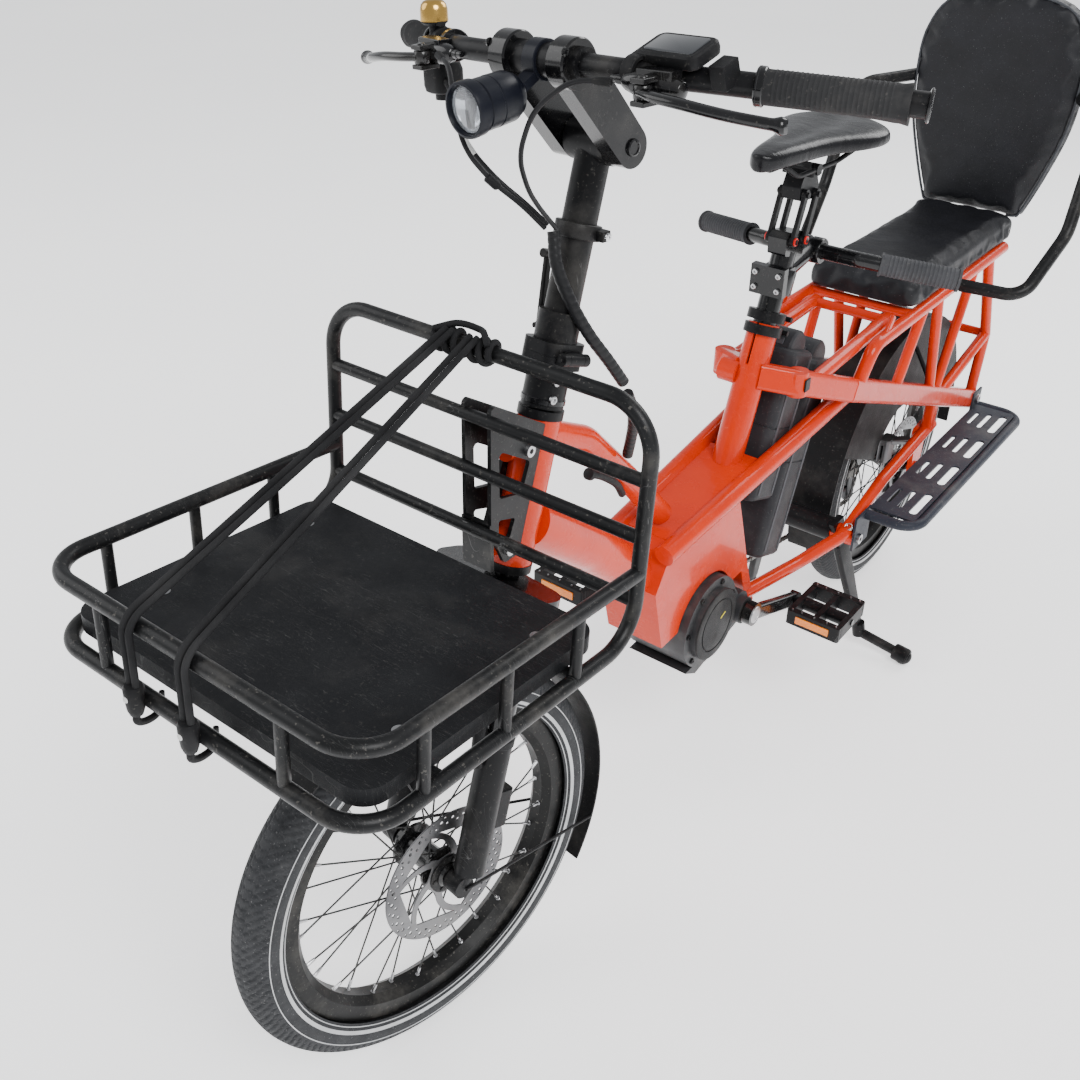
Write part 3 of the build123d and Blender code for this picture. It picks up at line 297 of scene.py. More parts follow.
def lens_glass():
    """A clear moulded lens with fine ridges."""
    s = Surface("lamp_lens", Transmission_Weight=0.92, Roughness=0.04, IOR=1.49)
    tone = s.blend(s.noise(40), (0.95, 0.97, 1.0), (0.86, 0.9, 0.95))
    return s.set(Base_Color=tone, Normal=s.bump(s.noise(260, 1), 0.0002))


def motor_plastic():
    """Dark motor casing with a fine eroded texture."""
    s = Surface("motor_casing")
    tone = s.blend(s.ramp(s.noise(25, 5), 0.35, 0.65), (0.018, 0.018, 0.02), (0.034, 0.034, 0.036))
    film = s.ramp(s.noise(12, 7, 0.7), 0.5, 0.75, 0, 0.3)
    tone = s.blend(film, tone, (0.24, 0.21, 0.18))
    normal = s.bump(s.cells(900), 0.0002)
    return s.set(Base_Color=tone, Roughness=s.ramp(s.noise(40, 4), 0.3, 0.7, 0.4, 0.62), Normal=normal)


TYRE = tyre_rubber()
SEAT_VINYL = vinyl("seat_vinyl", (0.0065, 0.0067, 0.0085), (0.40, 0.54))
SADDLE_VINYL = vinyl("saddle_vinyl", (0.004, 0.004, 0.005), (0.20, 0.30), 0.00008)
PIPING = vinyl("edge_piping", (0.035, 0.037, 0.042), (0.5, 0.65))
LENS = lens_glass()
MOTOR = motor_plastic()

# ---------------------------------------------------------------- mesh helpers


def basis(axis):
    """Two directions square to an axis."""
    axis = Vector(axis).normalized()
    side = Vector((0, 0, 1)) if abs(axis.z) < 0.9 else Vector((0, 1, 0))
    first = axis.cross(side).normalized()
    return first, axis.cross(first).normalized()


def ring_faces(bm, rings, around=True, closed=False):
    """Quads between rings of vertices."""
    count = len(rings[0])
    pairs = list(zip(rings, rings[1:])) + ([(rings[-1], rings[0])] if closed else [])
    for low, high in pairs:
        for index in range(count if around else count - 1):
            after = (index + 1) % count
            bm.faces.new((low[index], low[after], high[after], high[index]))


def lathe(bm, profile, centre, axis, segments=48, caps=True):
    """A turned shape: profile is (distance along the axis, radius) pairs."""
    centre, axis = Vector(centre), Vector(axis).normalized()
    first, second = basis(axis)
    rings = []
    for along, radius in profile:
        ring = []
        for step in range(segments):
            angle = 2 * pi * step / segments
            out = first * cos(angle) + second * sin(angle)
            ring.append(bm.verts.new(centre + axis * along + out * radius))
        rings.append(ring)
    ring_faces(bm, rings)
    if caps:
        bm.faces.new(rings[0])
        bm.faces.new(rings[-1])


def frames_along(points):
    """A frame at each point of a path, carried along without twisting."""
    points = [Vector(point) for point in points]
    found = []
    ahead = (points[1] - points[0]).normalized()
    first, _ = basis(ahead)
    for index, point in enumerate(points):
        before = points[max(index - 1, 0)]
        after = points[min(index + 1, len(points) - 1)]
        ahead = (after - before).normalized()
        first = (first - ahead * first.dot(ahead)).normalized()
        found.append((point, ahead, first, ahead.cross(first)))
    return found


def pipe(bm, points, radius, segments=20, caps=True):
    """A tube along a path; radius is a number or a function of (share along, angle)."""
    rings = []
    path = frames_along(points)
    for index, (point, _, first, second) in enumerate(path):
        ring = []
        for step in range(segments):
            angle = 2 * pi * step / segments
            reach = radius(index / (len(path) - 1), angle) if callable(radius) else radius
            ring.append(bm.verts.new(point + (first * cos(angle) + second * sin(angle)) * reach))
        rings.append(ring)
    ring_faces(bm, rings)
    if caps:
        bm.faces.new(rings[0])
        bm.faces.new(rings[-1])


def spline_points(points, count=60):
    """Evenly shared points on a smooth curve through the run of control points."""
    points = [Vector(point) for point in points]
    padded = [2 * points[0] - points[1], *points, 2 * points[-1] - points[-2]]
    found = []
    for step in range(count + 1):
        at = step / count * (len(points) - 1)
        index = min(int(at), len(points) - 2)
        t = at - index
        a, b, c, d = padded[index : index + 4]
        found.append(
            0.5 * (2 * b + (c - a) * t + (2 * a - 5 * b + 4 * c - d) * t**2 + (3 * b - a - 3 * c + d) * t**3)
        )
    return found


def block(bm, centre, size, turn=None):
    """A box of this size, turned by a matrix about its centre."""
    turn = turn or Matrix.Identity(4)
    corners = []
    for x in SIDES:
        for y in SIDES:
            for z in SIDES:
                offset = Vector((x * size[0] / 2, y * size[1] / 2, z * size[2] / 2))
                corners.append(bm.verts.new(Vector(centre) + (turn @ offset)))
    for face in ((0, 1, 3, 2), (4, 6, 7, 5), (0, 4, 5, 1), (2, 3, 7, 6), (0, 2, 6, 4), (1, 5, 7, 3)):
        bm.faces.new([corners[index] for index in face])


def loft(bm, rings, caps=True):
    """Skin over lists of points with the same count."""
    made = [[bm.verts.new(Vector(point)) for point in ring] for ring in rings]
    ring_faces(bm, made)
    if caps:
        bm.faces.new(made[0])
        bm.faces.new(made[-1])


def rounded(width, height, corner, steps=6):
    """Points round a rounded rectangle."""
    found = []
    for across, up, start in ((1, 1, 0), (-1, 1, 90), (-1, -1, 180), (1, -1, 270)):
        for step in range(steps + 1):
            angle = radians(start + 90 * step / steps)
            found.append(
                (across * (width / 2 - corner) + corner * cos(angle),
                 up * (height / 2 - corner) + corner * sin(angle))
            )
    return found


def circle(radius, count=32, centre=(0, 0)):
    return [
        (centre[0] + radius * cos(2 * pi * k / count), centre[1] + radius * sin(2 * pi * k / count))
        for k in range(count)
    ]


def piece(name, build, material, body, matrix=STRAIGHT, replaces=(), bevel=0.0, smooth=35, subdivide=0):
    """A finished piece: build(bm) draws it in design millimetres."""
    bm = bmesh.new()
    build(bm)
    bmesh.ops.recalc_face_normals(bm, faces=bm.faces)
    bm.transform(matrix)
    mesh = bpy.data.meshes.new(name)
    bm.to_mesh(mesh)
    bm.free()
    made = bpy.data.objects.new(name, mesh)
    bpy.context.scene.collection.objects.link(made)
    return settle(made, material, body, replaces, bevel, smooth, subdivide)


def settle(made, material, body, replaces=(), bevel=0.0, smooth=35, subdivide=0):
    """Gives a mesh its material, edges and body, and hides the CAD parts it replaces."""
    made.data.materials.clear()
    made.data.materials.append(material)
    made.data.polygons.foreach_set("use_smooth", [True] * len(made.data.polygons))
    if smooth:
        made.data.set_sharp_from_angle(angle=radians(smooth))
    if bevel:
        edge = made.modifiers.new("edges", "BEVEL")
        edge.width = bevel / 1000
        edge.segments = 2
        edge.limit_method = "ANGLE"
        edge.angle_limit = radians(40)
        edge.harden_normals = True
    if subdivide:
        finer = made.modifiers.new("finer", "SUBSURF")
        finer.levels = finer.render_levels = subdivide
    if replaces:
        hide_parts(*replaces)
    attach(made, body)
    return made


def flat(name, loops, thickness, plane, material, body, matrix=STRAIGHT, replaces=(), edge=0.0):
    """A plate cut from sheet: the first loop is its outline and the others are holes."""
    curve = bpy.data.curves.new(name, "CURVE")
    curve.dimensions = "2D"
    curve.fill_mode = "BOTH"
    curve.extrude = thickness / 2 - edge
    curve.bevel_depth = edge
    curve.bevel_resolution = 1
    curve.offset = -edge
    for loop in loops:
        spline = curve.splines.new("POLY")
        spline.points.add(len(loop) - 1)
        for point, (x, y) in zip(spline.points, loop):
            point.co = (x, y, 0, 1)
        spline.use_cyclic_u = True
    holder = bpy.data.objects.new(name + "_curve", curve)
    mesh = bpy.data.meshes.new_from_object(holder)
    bpy.data.objects.remove(holder)
    bpy.data.curves.remove(curve)
    mesh.name = name
    mesh.transform(matrix @ plane)
    made = bpy.data.objects.new(name, mesh)
    bpy.context.scene.collection.objects.link(made)
    return settle(made, material, body, replaces)


def side_plane(x, y, z):
    """A sketch plane at this X whose axes are the bicycle's Y and Z."""
    return Matrix.Translation((x, y, z)) @ Matrix(((0, 0, 1, 0), (1, 0, 0, 0), (0, 1, 0, 0), (0, 0, 0, 1)))


def repaint(material, *names):
    """A CAD node whose shape is right gets its material and smooth shading."""
    for name in names:
        node = NODES[name]
        node.data.materials.clear()
        node.data.materials.append(material)
        node.data.polygons.foreach_set("use_smooth", [True] * len(node.data.polygons))
        node.data.set_sharp_from_angle(angle=radians(32))


# ---------------------------------------------------------------- places shared by many pieces

RACK_TILT = radians(4.5)
RACK_FRONT = -372
TOP_BAR, TOP_RAIL, LOW_RAIL = 205, 33, -43
FOOT = Vector((0, -643 + 40 * sin(radians(72)), 262 - 40 * cos(radians(72))))
FRONT_AXLE = Vector((0, -643, 262))
REAR_AXLE = Vector((0, 650, 262))


def rack(x, y, z):
    """A point in the front rack's own frame, y = 0 at the tall rear hoop."""
    across = y * cos(RACK_TILT) + z * sin(RACK_TILT)
    return Vector((x, -547 + across, 691 - y * sin(RACK_TILT) + z * cos(RACK_TILT)))


def steer(x, y, z):
    """A point in the steering axis' frame: y behind the axis, z along it."""
    lean = radians(72)
    return FOOT + Vector((x, y * sin(lean) + z * cos(lean), z * sin(lean) - y * cos(lean)))


def seat(x, y, z):
    """A point in the seat tube's frame: y behind it, z along it."""
    lean = radians(69.8)
    return Vector((x, 18 + y * sin(lean) + z * cos(lean), 515 + z * sin(lean) - y * cos(lean)))


# ---------------------------------------------------------------- bungee cord


def strand(name, end_x, knot_x):
    """One leg of the doubled elastic cord: from the knot, over the front rail, down into its hook."""
    top = rack(knot_x, -6, TOP_BAR + 14)
    rail = rack(end_x, RACK_FRONT - 13, TOP_RAIL + 11)
    foot = rack(end_x, RACK_FRONT - 12.5, LOW_RAIL + 20)
    before = rail + (top - rail).normalized() * 41
    after = rail + (foot - rail).normalized() * 34
    curve = bpy.data.curves.new(name, "CURVE")
    curve.dimensions = "3D"
    curve.bevel_depth = 0.0034
    curve.bevel_resolution = 4
    curve.use_fill_caps = True
    spline = curve.splines.new("NURBS")
    points = [top, before, rail, after, foot]
    spline.points.add(len(points) - 1)
    for point, place in zip(spline.points, points):
        point.co = (*(STRAIGHT @ place), 1)
    spline.order_u = 3
    spline.use_endpoint_u = True
    spline.resolution_u = 16
    made = bpy.data.objects.new(name, curve)
    bpy.context.scene.collection.objects.link(made)
    made.data.materials.append(CORD)
    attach(made, "frame")
    return made


def knot(bm):
    """The cord's turns round the fence's top rail, with one turn crossing over them."""
    for start, finish, turns in ((-52, -18, 2.6), (-6, 22, 2.2)):
        helix = []
        for step in range(90):
            share = step / 89
            angle = 2 * pi * turns * share + 2.2
            helix.append(
                rack(start + (finish - start) * share, 11.6 * cos(angle), TOP_BAR + 11.6 * sin(angle))
            )
        pipe(bm, helix, 3.5, 12)
    cross = spline_points(
        [
            rack(-50, -12, TOP_BAR + 12),
            rack(-30, 2, TOP_BAR + 19),
            rack(-8, 10, TOP_BAR + 16),
            rack(10, -4, TOP_BAR + 18),
            rack(20, -12, TOP_BAR + 12),
        ],
        40,
    )
    pipe(bm, cross, 3.5, 12)


def hooks(bm):
    for end_x in (-62, 14):
        top = rack(end_x, RACK_FRONT - 12.5, LOW_RAIL + 20)
        down = (rack(0, 0, -1) - rack(0, 0, 0)).normalized()
        lathe(bm, [(0, 6), (0.5, 8), (4, 9.6), (14, 9.2), (26, 8), (32, 6), (34, 4)], top, down, 28)
        curl = [
            rack(end_x, RACK_FRONT - 12.5, LOW_RAIL - 10),
            rack(end_x, RACK_FRONT - 13, LOW_RAIL - 20),
            rack(end_x, RACK_FRONT - 5, LOW_RAIL - 25),
            rack(end_x, RACK_FRONT + 7, LOW_RAIL - 24),
            rack(end_x, RACK_FRONT + 13, LOW_RAIL - 14),
            rack(end_x, RACK_FRONT + 15, LOW_RAIL - 3),
        ]
        pipe(bm, spline_points(curl, 40), lambda share, angle: 3.6 - 1.0 * share**3, 16)


def rivets(bm):
    for end_x in (-62, 14):
        at = rack(end_x, RACK_FRONT - 21.5, LOW_RAIL + 8)
        lathe(bm, [(0, 3.2), (0.8, 3.0), (1.4, 1.8)], at, rack(0, -1, 0) - rack(0, 0, 0), 20)


bungee_knot = piece("bungee_knot", knot, CORD, "frame", smooth=0)
bungee_hooks = piece("bungee_hook_pair", hooks, PLASTIC, "frame", replaces=["bungee_hooks"])
bungee_rivets = piece("bungee_rivets", rivets, WHITE_TAG, "frame")
legs = [(-66.6, -38.6), (-57.4, -29.4), (9.4, -6.6), (18.6, 2.6)]
for number, (end_x, knot_x) in enumerate(legs):
    leg = strand(f"bungee_strand_{number + 1}", end_x, knot_x)
    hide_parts("bungee_cord")

# ---------------------------------------------------------------- wheels


def tyre(axle):
    """Carcass with a moulded tread: centre blocks, shoulder blocks and the sipes between them."""
    section = []
    for step in range(45):
        section.append((radians(-128 + 256 * step / 44), 30.0))
    inner = [(radians(120 - 240 * step / 9), 25.6) for step in range(10)]
    count = 840

    def build(bm):
        rings = []
        for turn in range(count):
            angle = 2 * pi * turn / count
            along = 262 * angle
            ring = []
            for phi, reach in section + inner:
                depth = 0.0
                arc = 30 * phi
                if reach == 30.0 and abs(arc) < 37:
                    lean = along + 0.55 * abs(arc)
                    pitch = 2 * pi * 262 / 140
                    if abs(arc) < 9:
                        depth = 1.1 if (lean % pitch) < 2.3 and abs(arc) > 2 else 0.0
                    elif abs(abs(arc) - 10.5) < 1.6:
                        depth = 1.3
                    elif abs(arc) > 12:
                        depth = 1.5 if ((along + 0.9 * abs(arc)) % pitch) < 2.6 else 0.0
                if reach == 30.0 and 37 <= abs(arc) < 38.6:
                    depth = -0.5
                far = reach - depth
                radial = 232 + far * cos(phi)
                ring.append(
                    bm.verts.new(axle + Vector((far * sin(phi), radial * cos(angle), radial * sin(angle))))
                )
            rings.append(ring)
        ring_faces(bm, rings, closed=True)

    return build


def band(axle):
    """Reflective ring and two raised lines on each sidewall."""

    def build(bm):
        for side in SIDES:
            for low, high, lift in ((104, 112.5, 0.45), (78, 80, 0.6), (120, 122, 0.6)):
                profile = []
                for phi, reach in ((low, 29.6), (low, 30 + lift), (high, 30 + lift), (high, 29.6)):
                    profile.append((side * reach * sin(radians(phi)), 232 + reach * cos(radians(phi))))
                lathe(bm, profile, axle, (1, 0, 0), 160, caps=False)

    return build


def wheel(prefix, axle, matrix, body, flange, flange_radius, count, ends, rotor_x):
    """The Blender pieces of one wheel. The rim and spokes stay as designed."""
    piece(f"{prefix}_tyre_carcass", tyre(axle), TYRE, body, matrix, [f"{prefix}_tyre"],
          smooth=28)
    piece(f"{prefix}_sidewall_band", band(axle), REFLECTIVE, body, matrix, smooth=40)

    def nipples(bm):
        for number in range(count):
            side = SIDES[number % 2]
            angle = 2 * pi * number / count
            lead = radians(52 if (number // 2) % 2 else -52)
            foot = axle + Vector(
                (side * flange, flange_radius * cos(angle + lead), flange_radius * sin(angle + lead))
            )
            seat_at = axle + Vector((side * 4, 187 * cos(angle), 187 * sin(angle)))
            run = (foot - seat_at).normalized()
            lathe(bm, [(-1, 3.2), (1.5, 3.0), (2, 2.1), (12, 1.9), (13, 1.3)], seat_at, run, 10)

    piece(f"{prefix}_nipples", nipples, STEEL, body, matrix)

    def shell(bm):
        left, right = ends
        lathe(
            bm,
            [(right, 13), (right + 2, 15), (-flange - 3, 16), (-flange - 2.2, flange_radius + 3.4),
             (-flange + 2.2, flange_radius + 3.4), (-flange + 4, 19), (0, 16.5), (flange - 4, 19),
             (flange - 2.2, flange_radius + 3.4), (flange + 2.2, flange_radius + 3.4), (flange + 3, 18),
             (left - 3, 16), (left, 12)],
            axle, (1, 0, 0), 64,
        )

    piece(f"{prefix}_hub_shell", shell, GLOSS_BLACK, body, matrix, [f"{prefix}_hub"], 0, 30)

    loops = [circle(90, 144), circle(20, 48)]
    for arm in range(6):
        near, far = [], []
        for step in range(9):
            radius = 29 + 42 * step / 8
            swirl = 60 * arm + 40 * (radius - 29) / 42
            half = atan2(5.5, radius)
            near.append((radius, radians(swirl) + half))
            far.append((radius, radians(swirl + 60) - half))
        outline = near + far[::-1]
        loops.append([(r * cos(a), r * sin(a)) for r, a in outline])
    for number in range(30):
        for radius, hole, offset in ((76.5, 2.0, 0), (81.5, 2.4, 6), (86, 1.7, 2)):
            angle = radians(12 * number + offset)
            loops.append(circle(hole, 10, (radius * cos(angle), radius * sin(angle))))
    plane = side_plane(rotor_x, axle.y, axle.z)
    flat(f"{prefix}_rotor", loops, 1.8, plane, ROTOR, body, matrix, edge=0.2)

    def carrier(bm):
        lathe(bm, [(-3, 22), (-2.5, 25), (2.5, 25), (3, 22)], axle + Vector((rotor_x, 0, 0)), (1, 0, 0), 48)
        for number in range(6):
            angle = 2 * pi * number / 6
            at = axle + Vector((rotor_x + 2.6, 20 * cos(angle), 20 * sin(angle)))
            lathe(bm, [(0, 3.4), (1.6, 3.2), (1.8, 1.4)], at, (1, 0, 0), 12)

    piece(f"{prefix}_rotor_carrier", carrier, SATIN_BLACK, body, matrix, smooth=30)


wheel("front", FRONT_AXLE, TURNED, "front_wheel", 27, 26, 32, (46, -46), 38)
wheel("rear", REAR_AXLE, STRAIGHT, "rear_wheel", 27, 28, 36, (65, -34), 42)
repaint(RIM_BLACK, "front_rim", "rear_rim")
repaint(SPOKE, "front_spokes", "rear_spokes")

# ---------------------------------------------------------------- drive


CHAIN_PITCH = 12.7
TOOTH_DEPTH = 3.4


def cog(teeth, radius):
    """A sprocket's outline with rounded teeth."""
    outline = []
    for step in range(teeth * 8):
        share = (step % 8) / 8
        angle = 2 * pi * step / (teeth * 8)
        rise = max(0.0, sin(pi * (share * 1.5 - 0.25))) if share < 0.84 else 0.0
        reach = radius - TOOTH_DEPTH + TOOTH_DEPTH * rise
        outline.append((reach * cos(angle), reach * sin(angle)))
    return outline


for number, radius in enumerate((64, 57, 50, 44, 38, 33, 28, 24)):
    teeth = round(2 * pi * radius / CHAIN_PITCH)
    loops = [cog(teeth, radius), circle(17, 36)]
    if radius > 30:
        for arm in range(5):
            angle = 2 * pi * arm / 5 + 0.2 * number
            middle = (radius + 17) / 2 - 2
            loops.append(circle((radius - 17) / 3.4, 20, (middle * cos(angle), middle * sin(angle))))
    plane = side_plane(-38 - 3.4 * number, 650, 262)
    flat(f"cog_{number + 1}", loops, 1.9, plane, CHAIN, "cassette",
         replaces=["cassette"] if number == 0 else (), edge=0.2)


def freehub(bm):
    lathe(bm, [(-65, 12), (-64.5, 16.5), (-35, 16.9), (-34.5, 12)], REAR_AXLE, (1, 0, 0), 40)


piece("freehub_body", freehub, STEEL, "cassette")


def chain_route():
    """Points along the chain's pitch line, one for each link, tangent round its three wheels."""
    wheels = [((0.0, 293.0), 40.0), ((650.0, 262.0), 68.5), ((664.0, 150.0), 23.0)]
    outline = []
    for (c1, r1), (c2, r2) in ((wheels[0], wheels[1]), (wheels[1], wheels[2]), (wheels[2], wheels[0])):
        dx, dy = c2[0] - c1[0], c2[1] - c1[1]
        span = hypot(dx, dy)
        angle = atan2(dy, dx) + pi / 2 + asin((r2 - r1) / span)
        outline.append(((c1, r1, angle), (c2, r2, angle)))
    points = []
    for index, (start, finish) in enumerate(outline):
        for (centre, radius, angle) in (start, finish):
            points.append((centre[0] + radius * cos(angle), centre[1] + radius * sin(angle)))
        centre, radius, angle = finish
        leave = outline[(index + 1) % 3][0][2]
        while leave > angle:
            leave -= 2 * pi
        steps = 24
        for step in range(1, steps):
            turn = angle + (leave - angle) * step / steps
            points.append((centre[0] + radius * cos(turn), centre[1] + radius * sin(turn)))
    lengths = [0.0]
    looped = points + points[:1]
    for before, after in zip(looped, looped[1:]):
        lengths.append(lengths[-1] + hypot(after[0] - before[0], after[1] - before[1]))
    count = round(lengths[-1] / CHAIN_PITCH / 2) * 2
    found, index = [], 0
    for number in range(count):
        goal = lengths[-1] * number / count
        while lengths[index + 1] < goal:
            index += 1
        share = (goal - lengths[index]) / max(lengths[index + 1] - lengths[index], 1e-9)
        before, after = looped[index], looped[index + 1]
        found.append((before[0] + (after[0] - before[0]) * share, before[1] + (after[1] - before[1]) * share))
    return found


def chain(bm):
    route = chain_route()
    for number, (here, after) in enumerate(zip(route, route[1:] + route[:1])):
        along = Vector((0, after[0] - here[0], after[1] - here[1])).normalized()
        up = Vector((0, -along.z, along.y))
        start, finish = Vector((0, *here)), Vector((0, *after))
        offset = 3.0 if number % 2 else 2.1
        for side in SIDES:
            outline = []
            for step in range(14):
                angle = 2 * pi * step / 14
                middle = finish if cos(angle) > 0 else start
                waist = 3.9 if abs(cos(angle)) > 0.35 else 2.9
                outline.append(middle + (along * cos(angle) + up * sin(angle)) * waist)
            faces = []
            for face in (offset - 0.45, offset + 0.45):
                faces.append([point + Vector((-50.5 + side * face, 0, 0)) for point in outline])
            loft(bm, faces)
        lathe(bm, [(-1.7, 3.8), (1.7, 3.8)], start + Vector((-50.5, 0, 0)), (1, 0, 0), 10)


piece("chain_links", chain, CHAIN, "frame", replaces=["chain"], smooth=30)
repaint(ROTOR, "derailleur_and_caliper")
repaint(GLOSS_BLACK, "cranks")
repaint(SATIN_BLACK, "pedal_left", "pedal_right")
repaint(MOTOR, "motor")


def crank_caps(bm):
    for side in SIDES:
        at = Vector((side * 87.6, 0, 293))
        lathe(bm, [(0, 14), (1.6, 13.4), (2.0, 9), (1.2, 8.6), (1.2, 4)], at, (side, 0, 0), 32)


def motor_cover(bm):
    at = Vector((67, -88, 318))
    lathe(bm, [(0, 57.5), (2.2, 56.5), (3.0, 53), (3.0, 44), (1.6, 43.4), (1.6, 41.4), (3.0, 40.8), (3.8, 30),
               (4.2, 12), (4.2, 1)], at, (1, 0, 0), 96)
    lathe(bm, [(0, 22), (2, 21), (2.6, 18)], Vector((69, 0, 293)), (1, 0, 0), 48)


def motor_bolts(bm):
    for number in range(7):
        angle = 2 * pi * number / 7 + 0.3
        at = Vector((58, -88 + 65 * cos(angle), 318 + 65 * sin(angle)))
        lathe(bm, [(0, 4.6), (2.8, 4.4), (3.2, 3.8), (3.2, 2.1), (1.4, 2.0)], at, (1, 0, 0), 18)


def motor_mark(bm):
    block(bm, (71.4, -76, 330), (0.8, 14, 2.0), Matrix.Rotation(radians(22), 3, "X"))


piece("crank_caps", crank_caps, STEEL, "crank", smooth=30)
piece("motor_cover_disc", motor_cover, PLASTIC, "frame", smooth=30)
piece("motor_bolts", motor_bolts, SATIN_BLACK, "frame", smooth=30)
piece("motor_index_mark", motor_mark, YELLOW, "frame", bevel=0.3)


def pedal_details(side):
    y = side * 170 * cos(radians(-22))
    z = 293 + side * 170 * sin(radians(-22))

    def reflectors(bm):
        for across in SIDES:
            block(bm, (side * 138, y + across * 50.4, z), (58, 2.6, 13))

    def pins(bm):
        for x in (100, 116, 138, 160, 176):
            for across in SIDES:
                for up in SIDES:
                    at = (side * x, y + across * 44, z + up * 12.8)
                    lathe(bm, [(0, 1.6), (2.0, 1.3)], at, (0, 0, up), 10)

    return reflectors, pins


for side, name in ((1, "pedal_left"), (-1, "pedal_right")):
    reflectors, pins = pedal_details(side)
    piece(f"{name}_reflectors", reflectors, AMBER, name, bevel=0.6)
    piece(f"{name}_pins", pins, STEEL, name, smooth=30)

# ---------------------------------------------------------------- batteries

BATTERIES = ((72, -46, 188), (161, -150, 176))


def battery_shell(bm):
    for offset, low, high in BATTERIES:
        rings = []
        middle = (low + high) / 2
        levels = ((low, 7), (low + 2, 3), (low + 7, 0), (middle - 1.6, 0), (middle - 1.2, 1.2),
                  (middle + 1.2, 1.2), (middle + 1.6, 0), (high - 7, 0), (high - 2, 3), (high, 7))
        for level, inset in levels:
            outline = rounded(88 - 2 * inset, 84 - 2 * inset, 16 - inset / 2)
            rings.append([seat(x, offset + y, level) for x, y in outline])
        loft(bm, rings)
        start = seat(-31, offset, high)
        lathe(bm, [(0, 20), (1, 25), (4, 28), (58, 28), (61, 25), (62, 20)], start, (1, 0, 0), 48)


def battery_edges(bm):
    for offset, low, high in BATTERIES:
        turn = Matrix.Rotation(radians(-(90 - 69.8)), 3, "X")
        for side in SIDES:
            for y in (-24, 24):
                at = seat(side * 44.1, offset + y, (low + high) / 2)
                block(bm, at, (1.6, 7, high - low - 24), turn)
        block(bm, seat(0, offset - 27, high + 9), (34, 4, 10), turn)


piece("battery_shells", battery_shell, CASE, "frame", replaces=["batteries"], smooth=30)
piece("battery_edge_strips", battery_edges, CASE_EDGE, "frame", bevel=0.6)

# ---------------------------------------------------------------- frame paint and small fittings

repaint(ORANGE, "front_frame", "main_beam", "seat_tube", "rear_beams", "rear_stays", "rack_rails",
        "rack_struts")
repaint(POWDER, "front_rack_hoop", "front_rack_bars", "seat_hoops")
repaint(SATIN_BLACK, "headset_cups", "seat_collars", "fork_lowers", "post_base", "post_upper", "latch_lever")
repaint(SATIN_BLACK, "saddle_clamp", "link_front", "link_rear", "kickstand", "handlebar", "shift_lever")
repaint(GLOSS_BLACK, "fork_crown", "stem_arms", "seatpost")
repaint(PLASTIC, "front_fender", "rear_fender")
repaint(BLUE_BLACK, "footplates")
repaint(BOARD, "deck_board")
repaint(STEEL, "fastener_bolts")
for name, width in (("front_frame", 5), ("main_beam", 6), ("rear_beams", 5), ("seat_tube", 3),
                    ("stem_arms", 4),
                    ("post_base", 2), ("post_upper", 2), ("motor", 3), ("kickstand", 2), ("cranks", 2),
                    ("saddle_clamp", 1.5), ("fork_crown", 4), ("fork_lowers", 2), ("front_rack_bars", 1)):
    edge = NODES[name].modifiers.new("edges", "BEVEL")
    edge.width = width / 1000
    edge.segments = 4
    edge.limit_method = "ANGLE"
    edge.angle_limit = radians(32)
    edge.harden_normals = True
board_edge = NODES["deck_board"].modifiers.new("edges", "BEVEL")
board_edge.width = 0.0025
board_edge.segments = 3
board_edge.limit_method = "ANGLE"


def socket_shade_plugs(bm):
    """Painted shade: short dark hexagonal plugs on the bolt heads stand in for the shadow inside their socket
    recesses.
    """
    up = (rack(0, 0, 1) - rack(0, 0, 0)).normalized()
    for side in SIDES:
        for y in (-280, -92):
            lathe(bm, [(0, 3.2), (0.35, 3.2)], rack(side * 160, y, -17.1), up, 6)
        for height in (656.0, 765.0):
            y = FOOT.y + (height - FOOT.z) / tan(radians(72)) - 40
            lathe(bm, [(0, 3.2), (0.35, 3.2)], (side * 24.9, y, height), (side, 0, 0), 6)
        for y, z in ((330, 272), (862, 336)):
            lathe(bm, [(0, 4.2), (0.35, 4.2)], (side * 112.9, y, z), (side, 0, 0), 6)


# Dark plugs painted as the shade inside the bolts' hex sockets, not real socket holes.
piece("socket_shade_plugs", socket_shade_plugs, RUBBER, "frame", smooth=0)


def cable_guide(bm):
    points = [(14, -352, 676), (17, -330, 664), (18, -300, 640), (12, -276, 612)]
    pipe(bm, spline_points(points, 30), 5, 16)
    lathe(bm, [(-4, 5), (-3, 7.5), (3, 7.5), (4, 5)], (14, -352, 676), (0.1, 0.8, -0.5), 24)


piece("frame_cable_guide", cable_guide, PLASTIC, "frame")


def badge(bm):
    block(bm, (77.0, 97, 643), (2.4, 15, 19))


piece("blank_badge", badge, SATIN_BLACK, "frame", bevel=1.0)


def stand_legs(bm):
    """The cast, tapering outer faces of the stand's two legs."""
    for side in SIDES:
        rings = []
        for level, width, depth in ((246, 8, 34), (242, 13, 43), (190, 13, 41), (120, 13, 33), (66, 13, 27),
                                    (60, 10, 22)):
            share = (292 - level) / 242
            x, y = side * (64 + 48 * share), 330 + 66 * share
            rings.append([Vector((x + a, y + b, level)) for a, b in rounded(width, depth, 5)])
        loft(bm, rings)
        lathe(bm, [(0, 14), (3, 15.6), (26, 15.6), (29, 13)], (side * 188, 401, 20), (side, 0.01, -0.12), 32)


